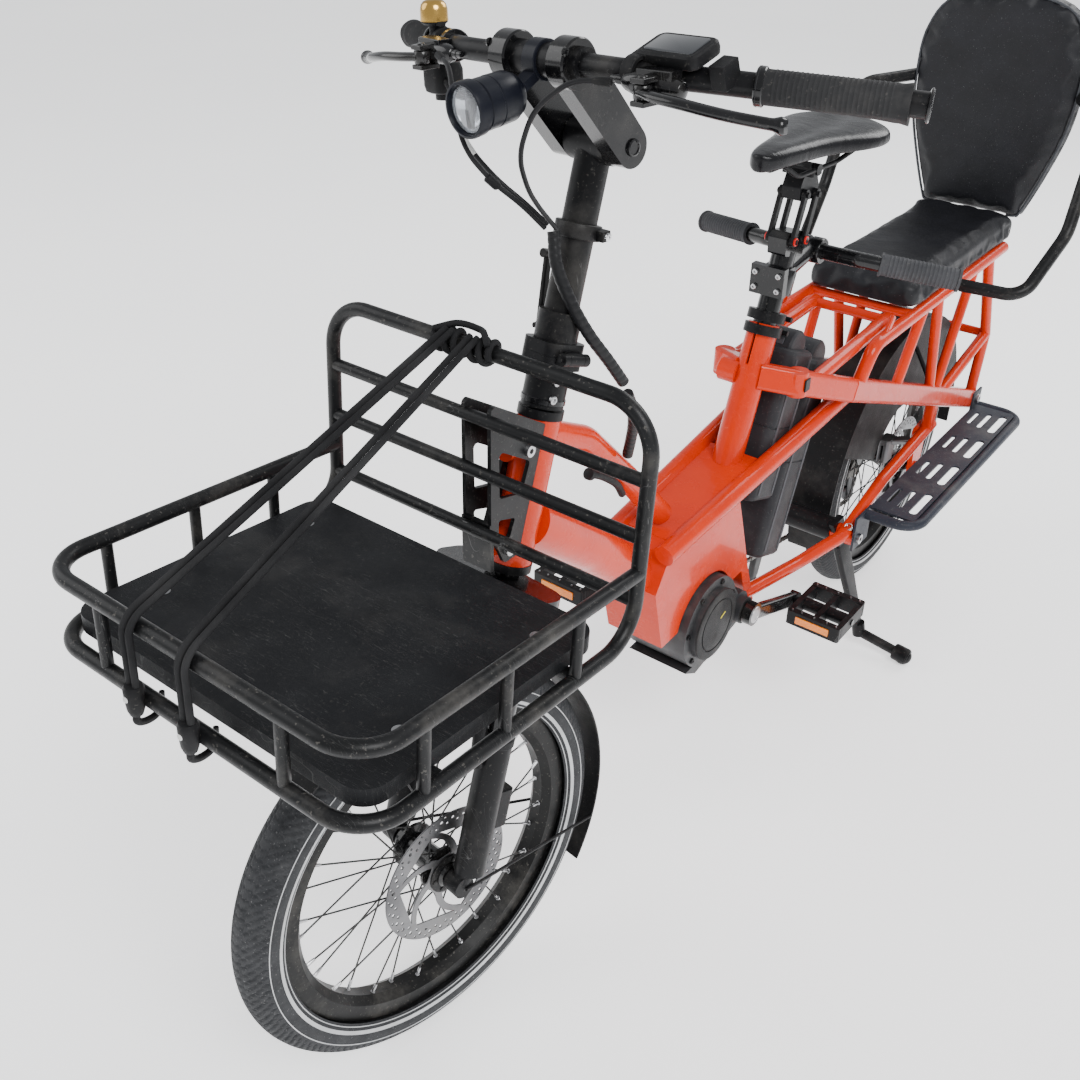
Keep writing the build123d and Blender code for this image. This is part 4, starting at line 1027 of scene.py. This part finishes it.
def stand_springs(bm):
    for side in SIDES:
        start, finish = Vector((side * 94, 312, 300)), Vector((side * 94, 372, 244))
        run = (finish - start).normalized()
        across = Vector((1, 0, 0))
        lift = run.cross(across)
        turns, count = 15, 300
        coil = []
        for step in range(count + 1):
            share = step / count
            angle = 2 * pi * turns * share
            centre = start + (finish - start) * share
            coil.append(centre + across * (6 * cos(angle)) + lift * (6 * sin(angle)))
        pipe(bm, coil, 1.2, 6)
        for end, way in ((start, -1), (finish, 1)):
            pipe(bm, [end, end + run * (14 * way)], 1.6, 8)


piece("stand_leg_faces", stand_legs, SATIN_BLACK, "kickstand", smooth=35)
piece("stand_springs", stand_springs, CHROME, "frame", smooth=0)


def fork_seals(bm):
    for side in SIDES:
        for level, height in ((192, 10), (203, 5)):
            at = steer(side * 66, -32, level)
            lathe(bm, [(0, 15.2), (0, 19.5), (1, 20.4), (height - 1, 20.4), (height, 19.5), (height, 15.2)],
                  at, STEER_UP, 48, caps=False)


STEER_UP = steer(0, 0, 1) - steer(0, 0, 0)
piece("fork_seals", fork_seals, RUBBER, "fork_lower", TURNED, smooth=32)

# ---------------------------------------------------------------- handlepost, stem and bars

STEM_PIVOT = Vector((0, -341, 1062))
BAR_Y, BAR_Z, BAR_SWEEP = -415, 1150, 112


def bar_at(x):
    """The middle of the handlebar at this X, outside its bends."""
    along = (abs(x) - 112) / 233
    return Vector((x, BAR_Y + BAR_SWEEP * along, BAR_Z - 18 * along))


def post_bolts(bm):
    for along in (584, 604):
        lathe(bm, [(0, 5), (3, 4.8), (3.6, 3.8), (3.6, 2.2), (2, 2.1)], steer(22, -9, along), (1, 0, 0), 20)


def post_collars(bm):
    lathe(bm, [(0, 24.2), (0.8, 25.2), (6, 25.2), (7, 24.2)], steer(0, 0, 576), STEER_UP, 64, caps=False)


def band_clamp(bm):
    lathe(bm, [(0, 19.2), (0, 24.6), (1, 25.2), (15, 25.2), (16, 24.6), (16, 19.2)], steer(0, 0, 755),
          STEER_UP, 72, caps=False)
    block(bm, steer(29, 8, 763), (12, 12, 11))


def band_screw(bm):
    lathe(bm, [(0, 4.4), (3, 4.2), (3.4, 3), (3.4, 1.8), (1.6, 1.7)], steer(35, 8, 763), (1, 0, 0), 20)


piece("post_clamp_bolts", post_bolts, STEEL, "steering", TURNED, smooth=30)
piece("post_clamp_ring", post_collars, GLOSS_BLACK, "steering", TURNED, smooth=30)
piece("cable_band", band_clamp, SATIN_BLACK, "handlepost", TURNED, bevel=0.8)
piece("cable_band_screw", band_screw, CHROME, "handlepost", TURNED, smooth=30)


def stem_rings(bm):
    """Clamp rings and bolts on the adjustable stem's two arms."""
    for side in SIDES:
        at = Vector((side * 40, BAR_Y, BAR_Z))
        lathe(bm, [(-12, 16), (-12, 22.5), (-10, 24), (10, 24), (12, 22.5), (12, 16)], at, (1, 0, 0), 56,
              caps=False)
        for spot in (STEM_PIVOT, Vector((0, BAR_Y - 19, BAR_Z + 13))):
            at = Vector((side * 51.5, spot.y, spot.z))
            radius = 9 if spot is STEM_PIVOT else 4.5
            lathe(bm, [(0, radius), (2, radius - 0.4), (2.6, radius - 2), (1.2, radius - 3)], at,
                  (side, 0, 0), 28)


piece("stem_clamp_rings", stem_rings, GLOSS_BLACK, "stem", TURNED, smooth=32)


def grips(side):
    """A rubber grip with a palm rest that widens towards the rider at its outer end."""

    def build(bm):
        inner, outer = bar_at(side * 218), bar_at(side * 346)
        run = (outer - inner).normalized()
        up = (Vector((0, 0, 1)) - run * run.z).normalized()
        back = (run.cross(up) * -side * 0.75 - up * 0.66).normalized()
        up = run.cross(back).normalized()
        rings = []
        for step in range(121):
            share = step / 120
            body = 15.0 + 2.2 * max(0.0, 1 - share / 0.05) + 1.6 * max(0.0, (share - 0.94) / 0.06)
            wing = 15 * min(1.0, max(0.0, (share - 0.25) / 0.65)) ** 1.6
            ridge = 0.5 * max(0.0, sin(share * 2 * pi * 30)) if 0.10 < share < 0.90 else 0.0
            ring = []
            for corner in range(48):
                angle = 2 * pi * corner / 48
                across, rise = cos(angle), sin(angle)
                reach = body + (wing * across**1.5 if across > 0 else ridge)
                tall = body - 0.25 * wing * max(0.0, across) + (ridge if across <= 0 else 0)
                ring.append(inner + run * (128 * share) + back * (reach * across) + up * (tall * rise))
            rings.append(ring)
        loft(bm, rings)

    return build


def grip_ends(bm):
    for side in SIDES:
        at = bar_at(side * 346)
        out = (bar_at(side * 350) - bar_at(side * 346)).normalized()
        lathe(bm, [(-1, 12), (0, 14.2), (1.4, 14.2), (2.4, 13), (2.4, 5), (1.6, 4.6), (1.6, 1)], at, out, 40)
        ring = bar_at(side * 216)
        lathe(bm, [(0, 11.3), (0, 16), (1, 17), (7, 17), (8, 16), (8, 11.3)], ring, out, 40, caps=False)


piece("grip_left", grips(1), RUBBER, "stem", TURNED, ["grips"], smooth=50)
piece("grip_right", grips(-1), RUBBER, "stem", TURNED, smooth=50)
piece("grip_end_rings", grip_ends, GLOSS_BLACK, "stem", TURNED, smooth=30)


def lever_pivot(side):
    return bar_at(side * 152) + Vector((0, -44, -6))


def lever_blade(side):
    """A forged two-finger lever: a round eye, a flat blade and a turned-out ball end."""

    def build(bm):
        eye = lever_pivot(side)
        route = [(2, -2, 0), (24, -9, -1), (52, -9, -3), (84, 0, -8), (112, 15, -13), (134, 26, -16)]
        points = spline_points([eye + Vector((side * x, y, z)) for x, y, z in route], 60)
        rings = []
        for number, point in enumerate(points):
            share = number / 59
            after, before = points[min(59, number + 1)], points[max(0, number - 1)]
            run = (after - before).normalized()
            wide = 7.6 - 2.2 * share + 2.6 * max(0.0, 1 - abs(share - 0.97) / 0.06)
            tall = 4.6 + 0.6 * share + 2.4 * max(0.0, 1 - abs(share - 0.97) / 0.06)
            flat_way = Vector((0, 0, 1)).cross(run).normalized()
            ring = []
            for corner in range(20):
                angle = 2 * pi * corner / 20
                ring.append(point + flat_way * (wide * cos(angle)) + Vector((0, 0, tall * sin(angle))))
            rings.append(ring)
        loft(bm, rings)
        lathe(bm, [(-6.4, 3.4), (-6.4, 7.6), (-5.6, 8.4), (5.6, 8.4), (6.4, 7.6), (6.4, 3.4)], eye,
              (0, 0, 1), 32, caps=False)

    return build


for hand, side in (("left", 1), ("right", -1)):
    piece(f"lever_blade_{hand}", lever_blade(side), GLOSS_BLACK, f"brake_lever_{hand}", TURNED,
          [f"brake_lever_{hand}"], smooth=50)


def brake_masters(bm):
    """Clamp, master cylinder and reservoir of each brake lever, and the two ears of its pivot."""
    for side in SIDES:
        out = (bar_at(side * 160) - bar_at(side * 146)).normalized()
        lathe(bm, [(0, 11.3), (0, 15), (1, 16.2), (13, 16.2), (14, 15), (14, 11.3)], bar_at(side * 146),
              out, 40, caps=False)
        pivot = lever_pivot(side)
        start = pivot + Vector((side * 30, 20, 0))
        finish = pivot + Vector((-side * 34, 14, 4))
        run = (finish - start).normalized()
        length = (finish - start).length
        profile = [(0, 3), (1.5, 8), (6, 9.6), (22, 10.2), (34, 11.4), (length - 14, 10.6), (length - 4, 8)]
        lathe(bm, [*profile, (length, 6), (length + 1.5, 3)], start, run, 36)
        reservoir = Matrix.Rotation(atan2(run.y, run.x), 3, "Z")
        block(bm, start + run * length * 0.45 + Vector((0, 2, 10)), (38, 17, 9), reservoir)
        pipe(bm, [pivot + Vector((0, 44, 6)), pivot + Vector((0, 16, 2))], 8, 20)
        for low, high in ((-12, -7.2), (7.2, 12)):
            block(bm, pivot + Vector((0, 4, (low + high) / 2)), (16, 24, high - low))
        lathe(bm, [(-13, 4.4), (-12, 5), (12, 5), (13.4, 4.4), (13.4, 1.6)], pivot, (0, 0, 1), 20)
        finish_out = finish + run * 1.0
        lathe(bm, [(0, 4.5), (7, 4.5), (8, 3.6), (14, 3.2)], finish_out, run, 16)


def shifter(bm):
    out = (bar_at(-196) - bar_at(-182)).normalized()
    lathe(bm, [(0, 11.3), (0, 14.8), (1, 15.6), (13, 15.6), (14, 14.8), (14, 11.3)], bar_at(-182), out, 36,
          caps=False)
    rings = []
    for level, inset in ((1094, 5), (1096, 1.5), (1102, 0), (1118, 0), (1125, 2), (1129, 7)):
        outline = rounded(36 - 2 * inset, 38 - 2 * inset, 11 - inset / 2)
        rings.append([Vector((-189 + x, -384 + y, level)) for x, y in outline])
    loft(bm, rings)
    lathe(bm, [(0, 4.6), (12, 4.4), (14, 3.2)], (-172, -393, 1108), (0.9, -0.45, -0.2), 18)


def bell_base(bm):
    out = (bar_at(-212) - bar_at(-204)).normalized()
    lathe(bm, [(0, 11.3), (0, 14.6), (8, 14.6), (8, 11.3)], bar_at(-204), out, 36, caps=False)
    lathe(bm, [(0, 6), (12, 6.5), (14, 12), (16, 14.6), (17.4, 14.4)], (-208, -376, 1147), (0, 0, 1), 40)
    block(bm, (-194, -380, 1163), (12, 6, 4))


def bell_dome(bm):
    profile = [(0, 14.2), (0.6, 15.4), (2.2, 15.2), (12, 15.0), (17, 13.6), (20, 11), (21.6, 7), (22.2, 3),
               (22.4, 0.6)]
    lathe(bm, profile, (-208, -376, 1164), (0, 0, 1), 72)


def display(bm):
    out = Vector((1, 0, 0))
    lathe(bm, [(0, 11.5), (0, 14.6), (1, 15.6), (13, 15.6), (14, 14.6), (14, 11.5)], bar_at(114), out, 36,
          caps=False)
    tilt = Matrix.Rotation(radians(18), 3, "X")
    rings = []
    for level, inset in ((-7, 4), (-5, 0.8), (0, 0), (5, 0.6), (7, 2.4)):
        outline = rounded(70 - 2 * inset, 42 - 2 * inset, 9 - inset / 2)
        rings.append([Vector((150, -392, 1167)) + tilt @ Vector((x, y, level)) for x, y in outline])
    loft(bm, rings)
    block(bm, (122, -403, 1161), (18, 18, 14), tilt)
    block(bm, (198, -386, 1153), (16, 22, 22), tilt)


def display_glass(bm):
    tilt = Matrix.Rotation(radians(18), 3, "X")
    rings = []
    for level, inset in ((6.6, 0), (7.5, 0.2), (7.9, 1.0)):
        outline = rounded(56 - 2 * inset, 30 - 2 * inset, 4)
        rings.append([Vector((150, -392, 1167)) + tilt @ Vector((x, y, level)) for x, y in outline])
    loft(bm, rings)


piece("brake_masters", brake_masters, GLOSS_BLACK, "stem", TURNED, ["bar_controls"], 1.0, 32)
piece("shifter_body", shifter, PLASTIC, "stem", TURNED, smooth=32)
piece("bell_base", bell_base, PLASTIC, "stem", TURNED, smooth=32)
piece("bell_dome", bell_dome, BRASS, "stem", TURNED, smooth=40)
piece("display_housing", display, PLASTIC, "stem", TURNED, bevel=0.8, smooth=32)
piece("display_glass", display_glass, SCREEN, "stem", TURNED, smooth=32)


def lamp_body(bm):
    start, run = Vector((0, -452, 1124)), Vector((0, -60, -6)).normalized()
    profile = [(-4, 6), (-2, 16), (2, 20), (8, 22.6)]
    profile += [(10, 23.6), (30, 24.2), (30.6, 23.6), (31.6, 23.6)]
    profile += [(32, 24), (46, 24.2), (47, 23.2), (49, 23.2), (50, 25.8), (60, 26.2), (63, 25.4),
                (63.4, 23.2), (60, 22.0), (57, 21.6)]
    lathe(bm, profile, start, run, 72, caps=False)
    lathe(bm, [(-4, 0.5), (-4, 6)], start, run, 72, caps=False)
    block(bm, (0, -437, 1133), (16, 36, 9), Matrix.Rotation(radians(28), 3, "X"))
    lathe(bm, [(-9, 16), (-9, 18.5), (-8, 19.2), (8, 19.2), (9, 18.5), (9, 16)], (0, BAR_Y, BAR_Z),
          (1, 0, 0), 48, caps=False)


def lamp_reflector(bm):
    start, run = Vector((0, -452, 1124)), Vector((0, -60, -6)).normalized()
    lathe(bm, [(57, 21.4), (52, 18), (47, 12), (44, 5), (43.5, 0.4)], start, run, 48, caps=False)
    block(bm, start + run * 50 + Vector((0, 0, 5)), (26, 8, 1.6))


def lamp_emitter(bm):
    start, run = Vector((0, -452, 1124)), Vector((0, -60, -6)).normalized()
    block(bm, start + run * 54, (5, 5, 34))
    block(bm, start + run * 55 + Vector((0, 0, 9)), (30, 4, 3))


def lamp_lens(bm):
    start, run = Vector((0, -452, 1124)), Vector((0, -60, -6)).normalized()
    lathe(bm, [(56.5, 21.6), (58.5, 21.2), (60.2, 16), (61.4, 8), (61.8, 0.5)], start, run, 48)


piece("headlight_body", lamp_body, LAMP_BLACK, "stem", TURNED, ["headlight"], smooth=32)
piece("headlight_reflector", lamp_reflector, CHROME, "stem", TURNED, smooth=40)
piece("headlight_emitter", lamp_emitter, LAMP_BLACK, "stem", TURNED, bevel=0.8)
piece("headlight_lens", lamp_lens, LENS, "stem", TURNED, smooth=40)

LEFT_HOSE = [(116, -446, 1146), (84, -458, 1146), (52, -476, 1120), (34, -480, 1076), (26, -462, 1040),
             (18, -440, 1016), (13, -413, 989)]
RIGHT_HOSE = [(-116, -446, 1146), (-84, -460, 1142), (-56, -480, 1112), (-40, -484, 1072), (-24, -462, 1038),
              (-6, -442, 1016), (4, -420, 989)]
SHIFT_CABLE = [(-172, -392, 1108), (-142, -410, 1098), (-104, -440, 1084), (-66, -452, 1060),
               (-36, -444, 1034), (-14, -430, 1014), (-4, -409, 989)]
UPPER_BUNDLE = [(6, -410, 984), (14, -414, 950), (24, -404, 910), (32, -386, 872), (38, -362, 836),
                (40, -340, 804)]
LOWER_BUNDLE = [(54, -340, 790), (50, -322, 762), (42, -306, 733), (32, -294, 704), (22, -284, 676)]


def hose_fittings(bm):
    for route, length in ((LEFT_HOSE, 14), (RIGHT_HOSE, 14), (SHIFT_CABLE, 20)):
        start = Vector(route[0])
        run = (Vector(route[1]) - start).normalized()
        lathe(bm, [(-4, 3), (-3, 4.2), (length - 6, 4.0), (length, 2.7)], start, run, 18)
    middle = spline_points(RIGHT_HOSE, 70)[44]
    after = spline_points(RIGHT_HOSE, 70)[50]
    lathe(bm, [(0, 3.6), (1, 4.8), (14, 4.8), (16, 3.4)], middle, after - middle, 18)


def hose_tag(bm):
    route = spline_points(SHIFT_CABLE, 70)
    pipe(bm, route[30:37], 3.4, 18)


def wrap(route):
    """A cable bundle inside a spiral wrap, whose turns stand a little proud."""

    def build(bm):
        points = spline_points(route, 160)
        turns = sum((b - a).length for a, b in zip(points, points[1:])) / 9.0

        def reach(share, angle):
            phase = (angle / (2 * pi) + share * turns) % 1.0
            return 6.4 + 0.45 * min(1.0, 4 * min(phase, 1 - phase))

        pipe(bm, points, reach, 26)

    return build


repaint(CABLE, "bar_hoses")
piece("hose_fittings", hose_fittings, PLASTIC, "stem", TURNED, smooth=32)
piece("hose_tag", hose_tag, WHITE_TAG, "stem", TURNED, smooth=32)
piece("bundle_wrap_upper", wrap(UPPER_BUNDLE), CABLE, "handlepost", TURNED, ["bundle_upper"],
      smooth=60)
piece("bundle_wrap_lower", wrap(LOWER_BUNDLE), CABLE, "frame", replaces=["bundle_lower"],
      smooth=60)

# ---------------------------------------------------------------- passenger's bar


def stoker_at(x):
    along = (abs(x) - 74) / 132
    return Vector((x, 215 + 53 * along, 797 - 15 * along))


def stoker_metal(bm):
    route = [stoker_at(-206), stoker_at(-90), Vector((-56, 215, 797)), Vector((56, 215, 797)), stoker_at(90),
             stoker_at(206)]
    pipe(bm, spline_points(route, 90), 11.1, 32)
    up = seat(0, 0, 1) - seat(0, 0, 0)
    lathe(bm, [(262, 17.2), (262, 24), (264, 25), (296, 25), (298, 24), (298, 17.2)], seat(0, 0, 0), up, 56,
          caps=False)
    block(bm, (0, 90, 785), (52, 12, 42))
    block(bm, (0, 112, 785), (40, 34, 26))
    lathe(bm, [(0, 15), (6, 14), (62, 13), (78, 15)], (0, 128, 784), (0, 76, 12), 40)
    lathe(bm, [(-20, 12), (-20, 18), (-18, 19), (-3, 19), (-2, 17.6), (2, 17.6), (3, 19), (18, 19),
               (20, 18), (20, 12)], (0, 215, 797), (1, 0, 0), 48, caps=False)


def stoker_grips(bm):
    for side in SIDES:
        inner, outer = stoker_at(side * 104), stoker_at(side * 208)
        path = [inner + (outer - inner) * step / 150 for step in range(151)]

        def reach(share, angle):
            ridge = 0.8 * max(0.0, sin(share * 2 * pi * 20)) if 0.08 < share < 0.93 else 0.0
            return 15.2 + ridge + (1.8 if share > 0.965 or share < 0.03 else 0.0)

        pipe(bm, path, reach, 40)


def stoker_bolts(bm):
    for side in SIDES:
        for z in (774, 796):
            lathe(bm, [(0, 4.0), (3.6, 3.9), (4.0, 3.2), (4.0, 1.9), (2, 1.8)], (side * 18, 84, z),
                  (0, -1, 0), 20)


piece("stoker_bar_and_stem", stoker_metal, GLOSS_BLACK, "seatpost", replaces=["stoker_bar"],
      bevel=1.2, smooth=32)
piece("stoker_grips", stoker_grips, GREY_RUBBER, "seatpost", smooth=50)
piece("stoker_faceplate_bolts", stoker_bolts, STEEL, "seatpost", smooth=30)


def link_caps(bm):
    for y, z in ((114, 838), (148, 832)):
        for side in SIDES:
            lathe(bm, [(0, 6), (2, 5.6), (2.4, 3)], (side * 21.5, y, z), (side, 0, 0), 20)


piece("suspension_pivot_caps", link_caps, RED, "seatpost", smooth=30)

# ---------------------------------------------------------------- saddle and seat pads

SADDLE_WIDTHS = ((19, 5), (24, 13), (34, 20), (50, 25), (70, 29), (90, 32.5), (115, 37), (140, 43), (160, 51),
                 (180, 62), (200, 73), (220, 80), (240, 82), (258, 78), (270, 68), (278, 50), (283, 24))


def saddle(bm):
    rings = []
    for y, width in SADDLE_WIDTHS:
        ring = []
        nose = max(0.0, (60 - y) / 60)
        tail = max(0.0, (y - 200) / 80)
        top = 977.5 - 7 * nose + 1.2 * tail
        for step in range(32):
            angle = 2 * pi * step / 32
            across = sin(angle)
            up = cos(angle)
            x = width * (abs(across) ** 0.72) * (1 if across >= 0 else -1)
            if up > 0:
                z = 960 + (top - 960) * up**0.55
                z -= 4.0 * (2.718 ** (-((x / 9) ** 2))) * min(1.0, max(0.0, (y - 70) / 40))
            else:
                z = 960 - 10 * (-up) ** 0.6
            ring.append(Vector((x, y, z)))
        rings.append(ring)
    loft(bm, rings)


saddle_cover = piece("saddle_cover", saddle, SADDLE_VINYL, "saddle", replaces=["saddle"],
                     smooth=60, subdivide=2)


def cushion(name, rings, held, cap, material, node):
    """A foam pad in a sewn cover, puffed out by a short cloth simulation from a slightly small shape.

    held says which points stay flat on what backs them, and cap is how far a point may move, in metres.
    """
    bm = bmesh.new()
    loft(bm, rings)
    bmesh.ops.triangulate(bm, faces=bm.faces)
    bmesh.ops.recalc_face_normals(bm, faces=bm.faces)
    bm.transform(STRAIGHT)
    rough = bpy.data.meshes.new(name)
    bm.to_mesh(rough)
    bm.free()
    made = bpy.data.objects.new(name, rough)
    scene = bpy.context.scene
    scene.collection.objects.link(made)
    remesh = made.modifiers.new("voxels", "REMESH")
    remesh.mode = "VOXEL"
    remesh.voxel_size = 0.006
    remesh.use_smooth_shade = True
    bpy.context.view_layer.update()
    made.data = bpy.data.meshes.new_from_object(made.evaluated_get(bpy.context.evaluated_depsgraph_get()))
    made.modifiers.clear()
    relax = made.modifiers.new("relax", "SMOOTH")
    relax.factor = 0.5
    relax.iterations = 3
    bpy.context.view_layer.update()
    made.data = bpy.data.meshes.new_from_object(made.evaluated_get(bpy.context.evaluated_depsgraph_get()))
    made.modifiers.clear()
    start = [vertex.co.copy() for vertex in made.data.vertices]
    group = made.vertex_groups.new(name="held")
    group.add([v.index for v in made.data.vertices if held(v.co * 1000)], 1.0, "REPLACE")
    cloth = made.modifiers.new("cloth", "CLOTH")
    cloth.settings.vertex_group_mass = "held"
    cloth.settings.use_pressure = True
    cloth.settings.uniform_pressure_force = 4
    cloth.settings.effector_weights.gravity = 0
    cloth.settings.tension_stiffness = 25
    cloth.settings.compression_stiffness = 25
    cloth.settings.bending_stiffness = 2
    cloth.settings.shrink_min = -0.018
    cloth.point_cache.frame_start = 1
    cloth.point_cache.frame_end = 20
    for step in range(1, 21):
        scene.frame_set(step)
    puffed = bpy.data.meshes.new_from_object(made.evaluated_get(bpy.context.evaluated_depsgraph_get()))
    made.modifiers.clear()
    made.vertex_groups.clear()
    made.data = puffed
    for vertex, before in zip(puffed.vertices, start):
        moved = vertex.co - before
        if moved.length > cap:
            vertex.co = before + moved * (cap / moved.length)
    scene.frame_set(1)
    settle(made, material, "frame", [node], smooth=0, subdivide=1)
    return made


PAD_FLOOR = 656.5
SHIFT_MM = STRAIGHT.translation.y * 1000


def pad_rings():
    rings = []
    for level, inset in ((0.5, 3), (4, 0), (26, -1.0), (34, 1.5), (39, 7), (41, 14)):
        outline = rounded(192 - 2 * inset, 474 - 2 * inset, 24)
        rings.append([Vector((x, 662 + y, PAD_FLOOR + level)) for x, y in outline])
    return rings


BACK_EDGE = [(72, 688), (88, 690), (96, 698), (122, 770), (144, 850), (150, 930), (143, 1000), (104, 1056),
             (0, 1082)]


def arch(inset):
    """The backrest's outline in X and Z, from the middle of its foot round and back."""
    half = spline_points([(x, 0, z) for x, z in BACK_EDGE], 42)
    middle = Vector((0, 0, 880))
    points = []
    for at in half:
        away = at - middle
        points.append(at - away * (inset / away.length))
    return [(at.x, at.z) for at in points] + [(-at.x, at.z) for at in reversed(points[:-1])]


def back_rings():
    rings = []
    for depth, inset in ((902.5, 7), (905, 1), (911, -2), (932, -2), (936, 1), (939, 6)):
        rings.append([Vector((x, depth, z)) for x, z in arch(inset)])
    return rings


seat_cushion = cushion(
    "seat_cushion", pad_rings(), lambda at: at.z < PAD_FLOOR + 5, 0.008, SEAT_VINYL, "seat_pad"
)
back_cushion = cushion(
    "back_cushion", back_rings(), lambda at: at.y > 935 + SHIFT_MM, 0.006, SEAT_VINYL, "back_pad"
)


def back_piping(bm):
    for depth in (909, 934):
        outline = [Vector((x, depth, z)) for x, z in arch(2.5)]
        pipe(bm, outline, 2.4, 10)


piece("back_edge_piping", back_piping, PIPING, "frame", smooth=0)

# ---------------------------------------------------------------- floor


def pale_floor():
    s = Surface("pale_floor", Emission_Strength=0.9)
    tone = s.blend(s.ramp(s.noise(1.2, 3), 0.3, 0.7), (0.955, 0.955, 0.96), (0.975, 0.975, 0.975))
    return s.set(Base_Color=tone, Emission_Color=tone, Roughness=s.ramp(s.noise(3), 0.3, 0.7, 0.8, 0.9))


floor_mesh = bpy.data.meshes.new("floor")
floor_mesh.from_pydata([(-30, -30, 0), (30, -30, 0), (30, 30, 0), (-30, 30, 0)], [], [(0, 1, 2, 3)])
floor = bpy.data.objects.new("floor", floor_mesh)
floor.location.z = -0.0005
bpy.context.scene.collection.objects.link(floor)
floor_mesh.materials.append(pale_floor())
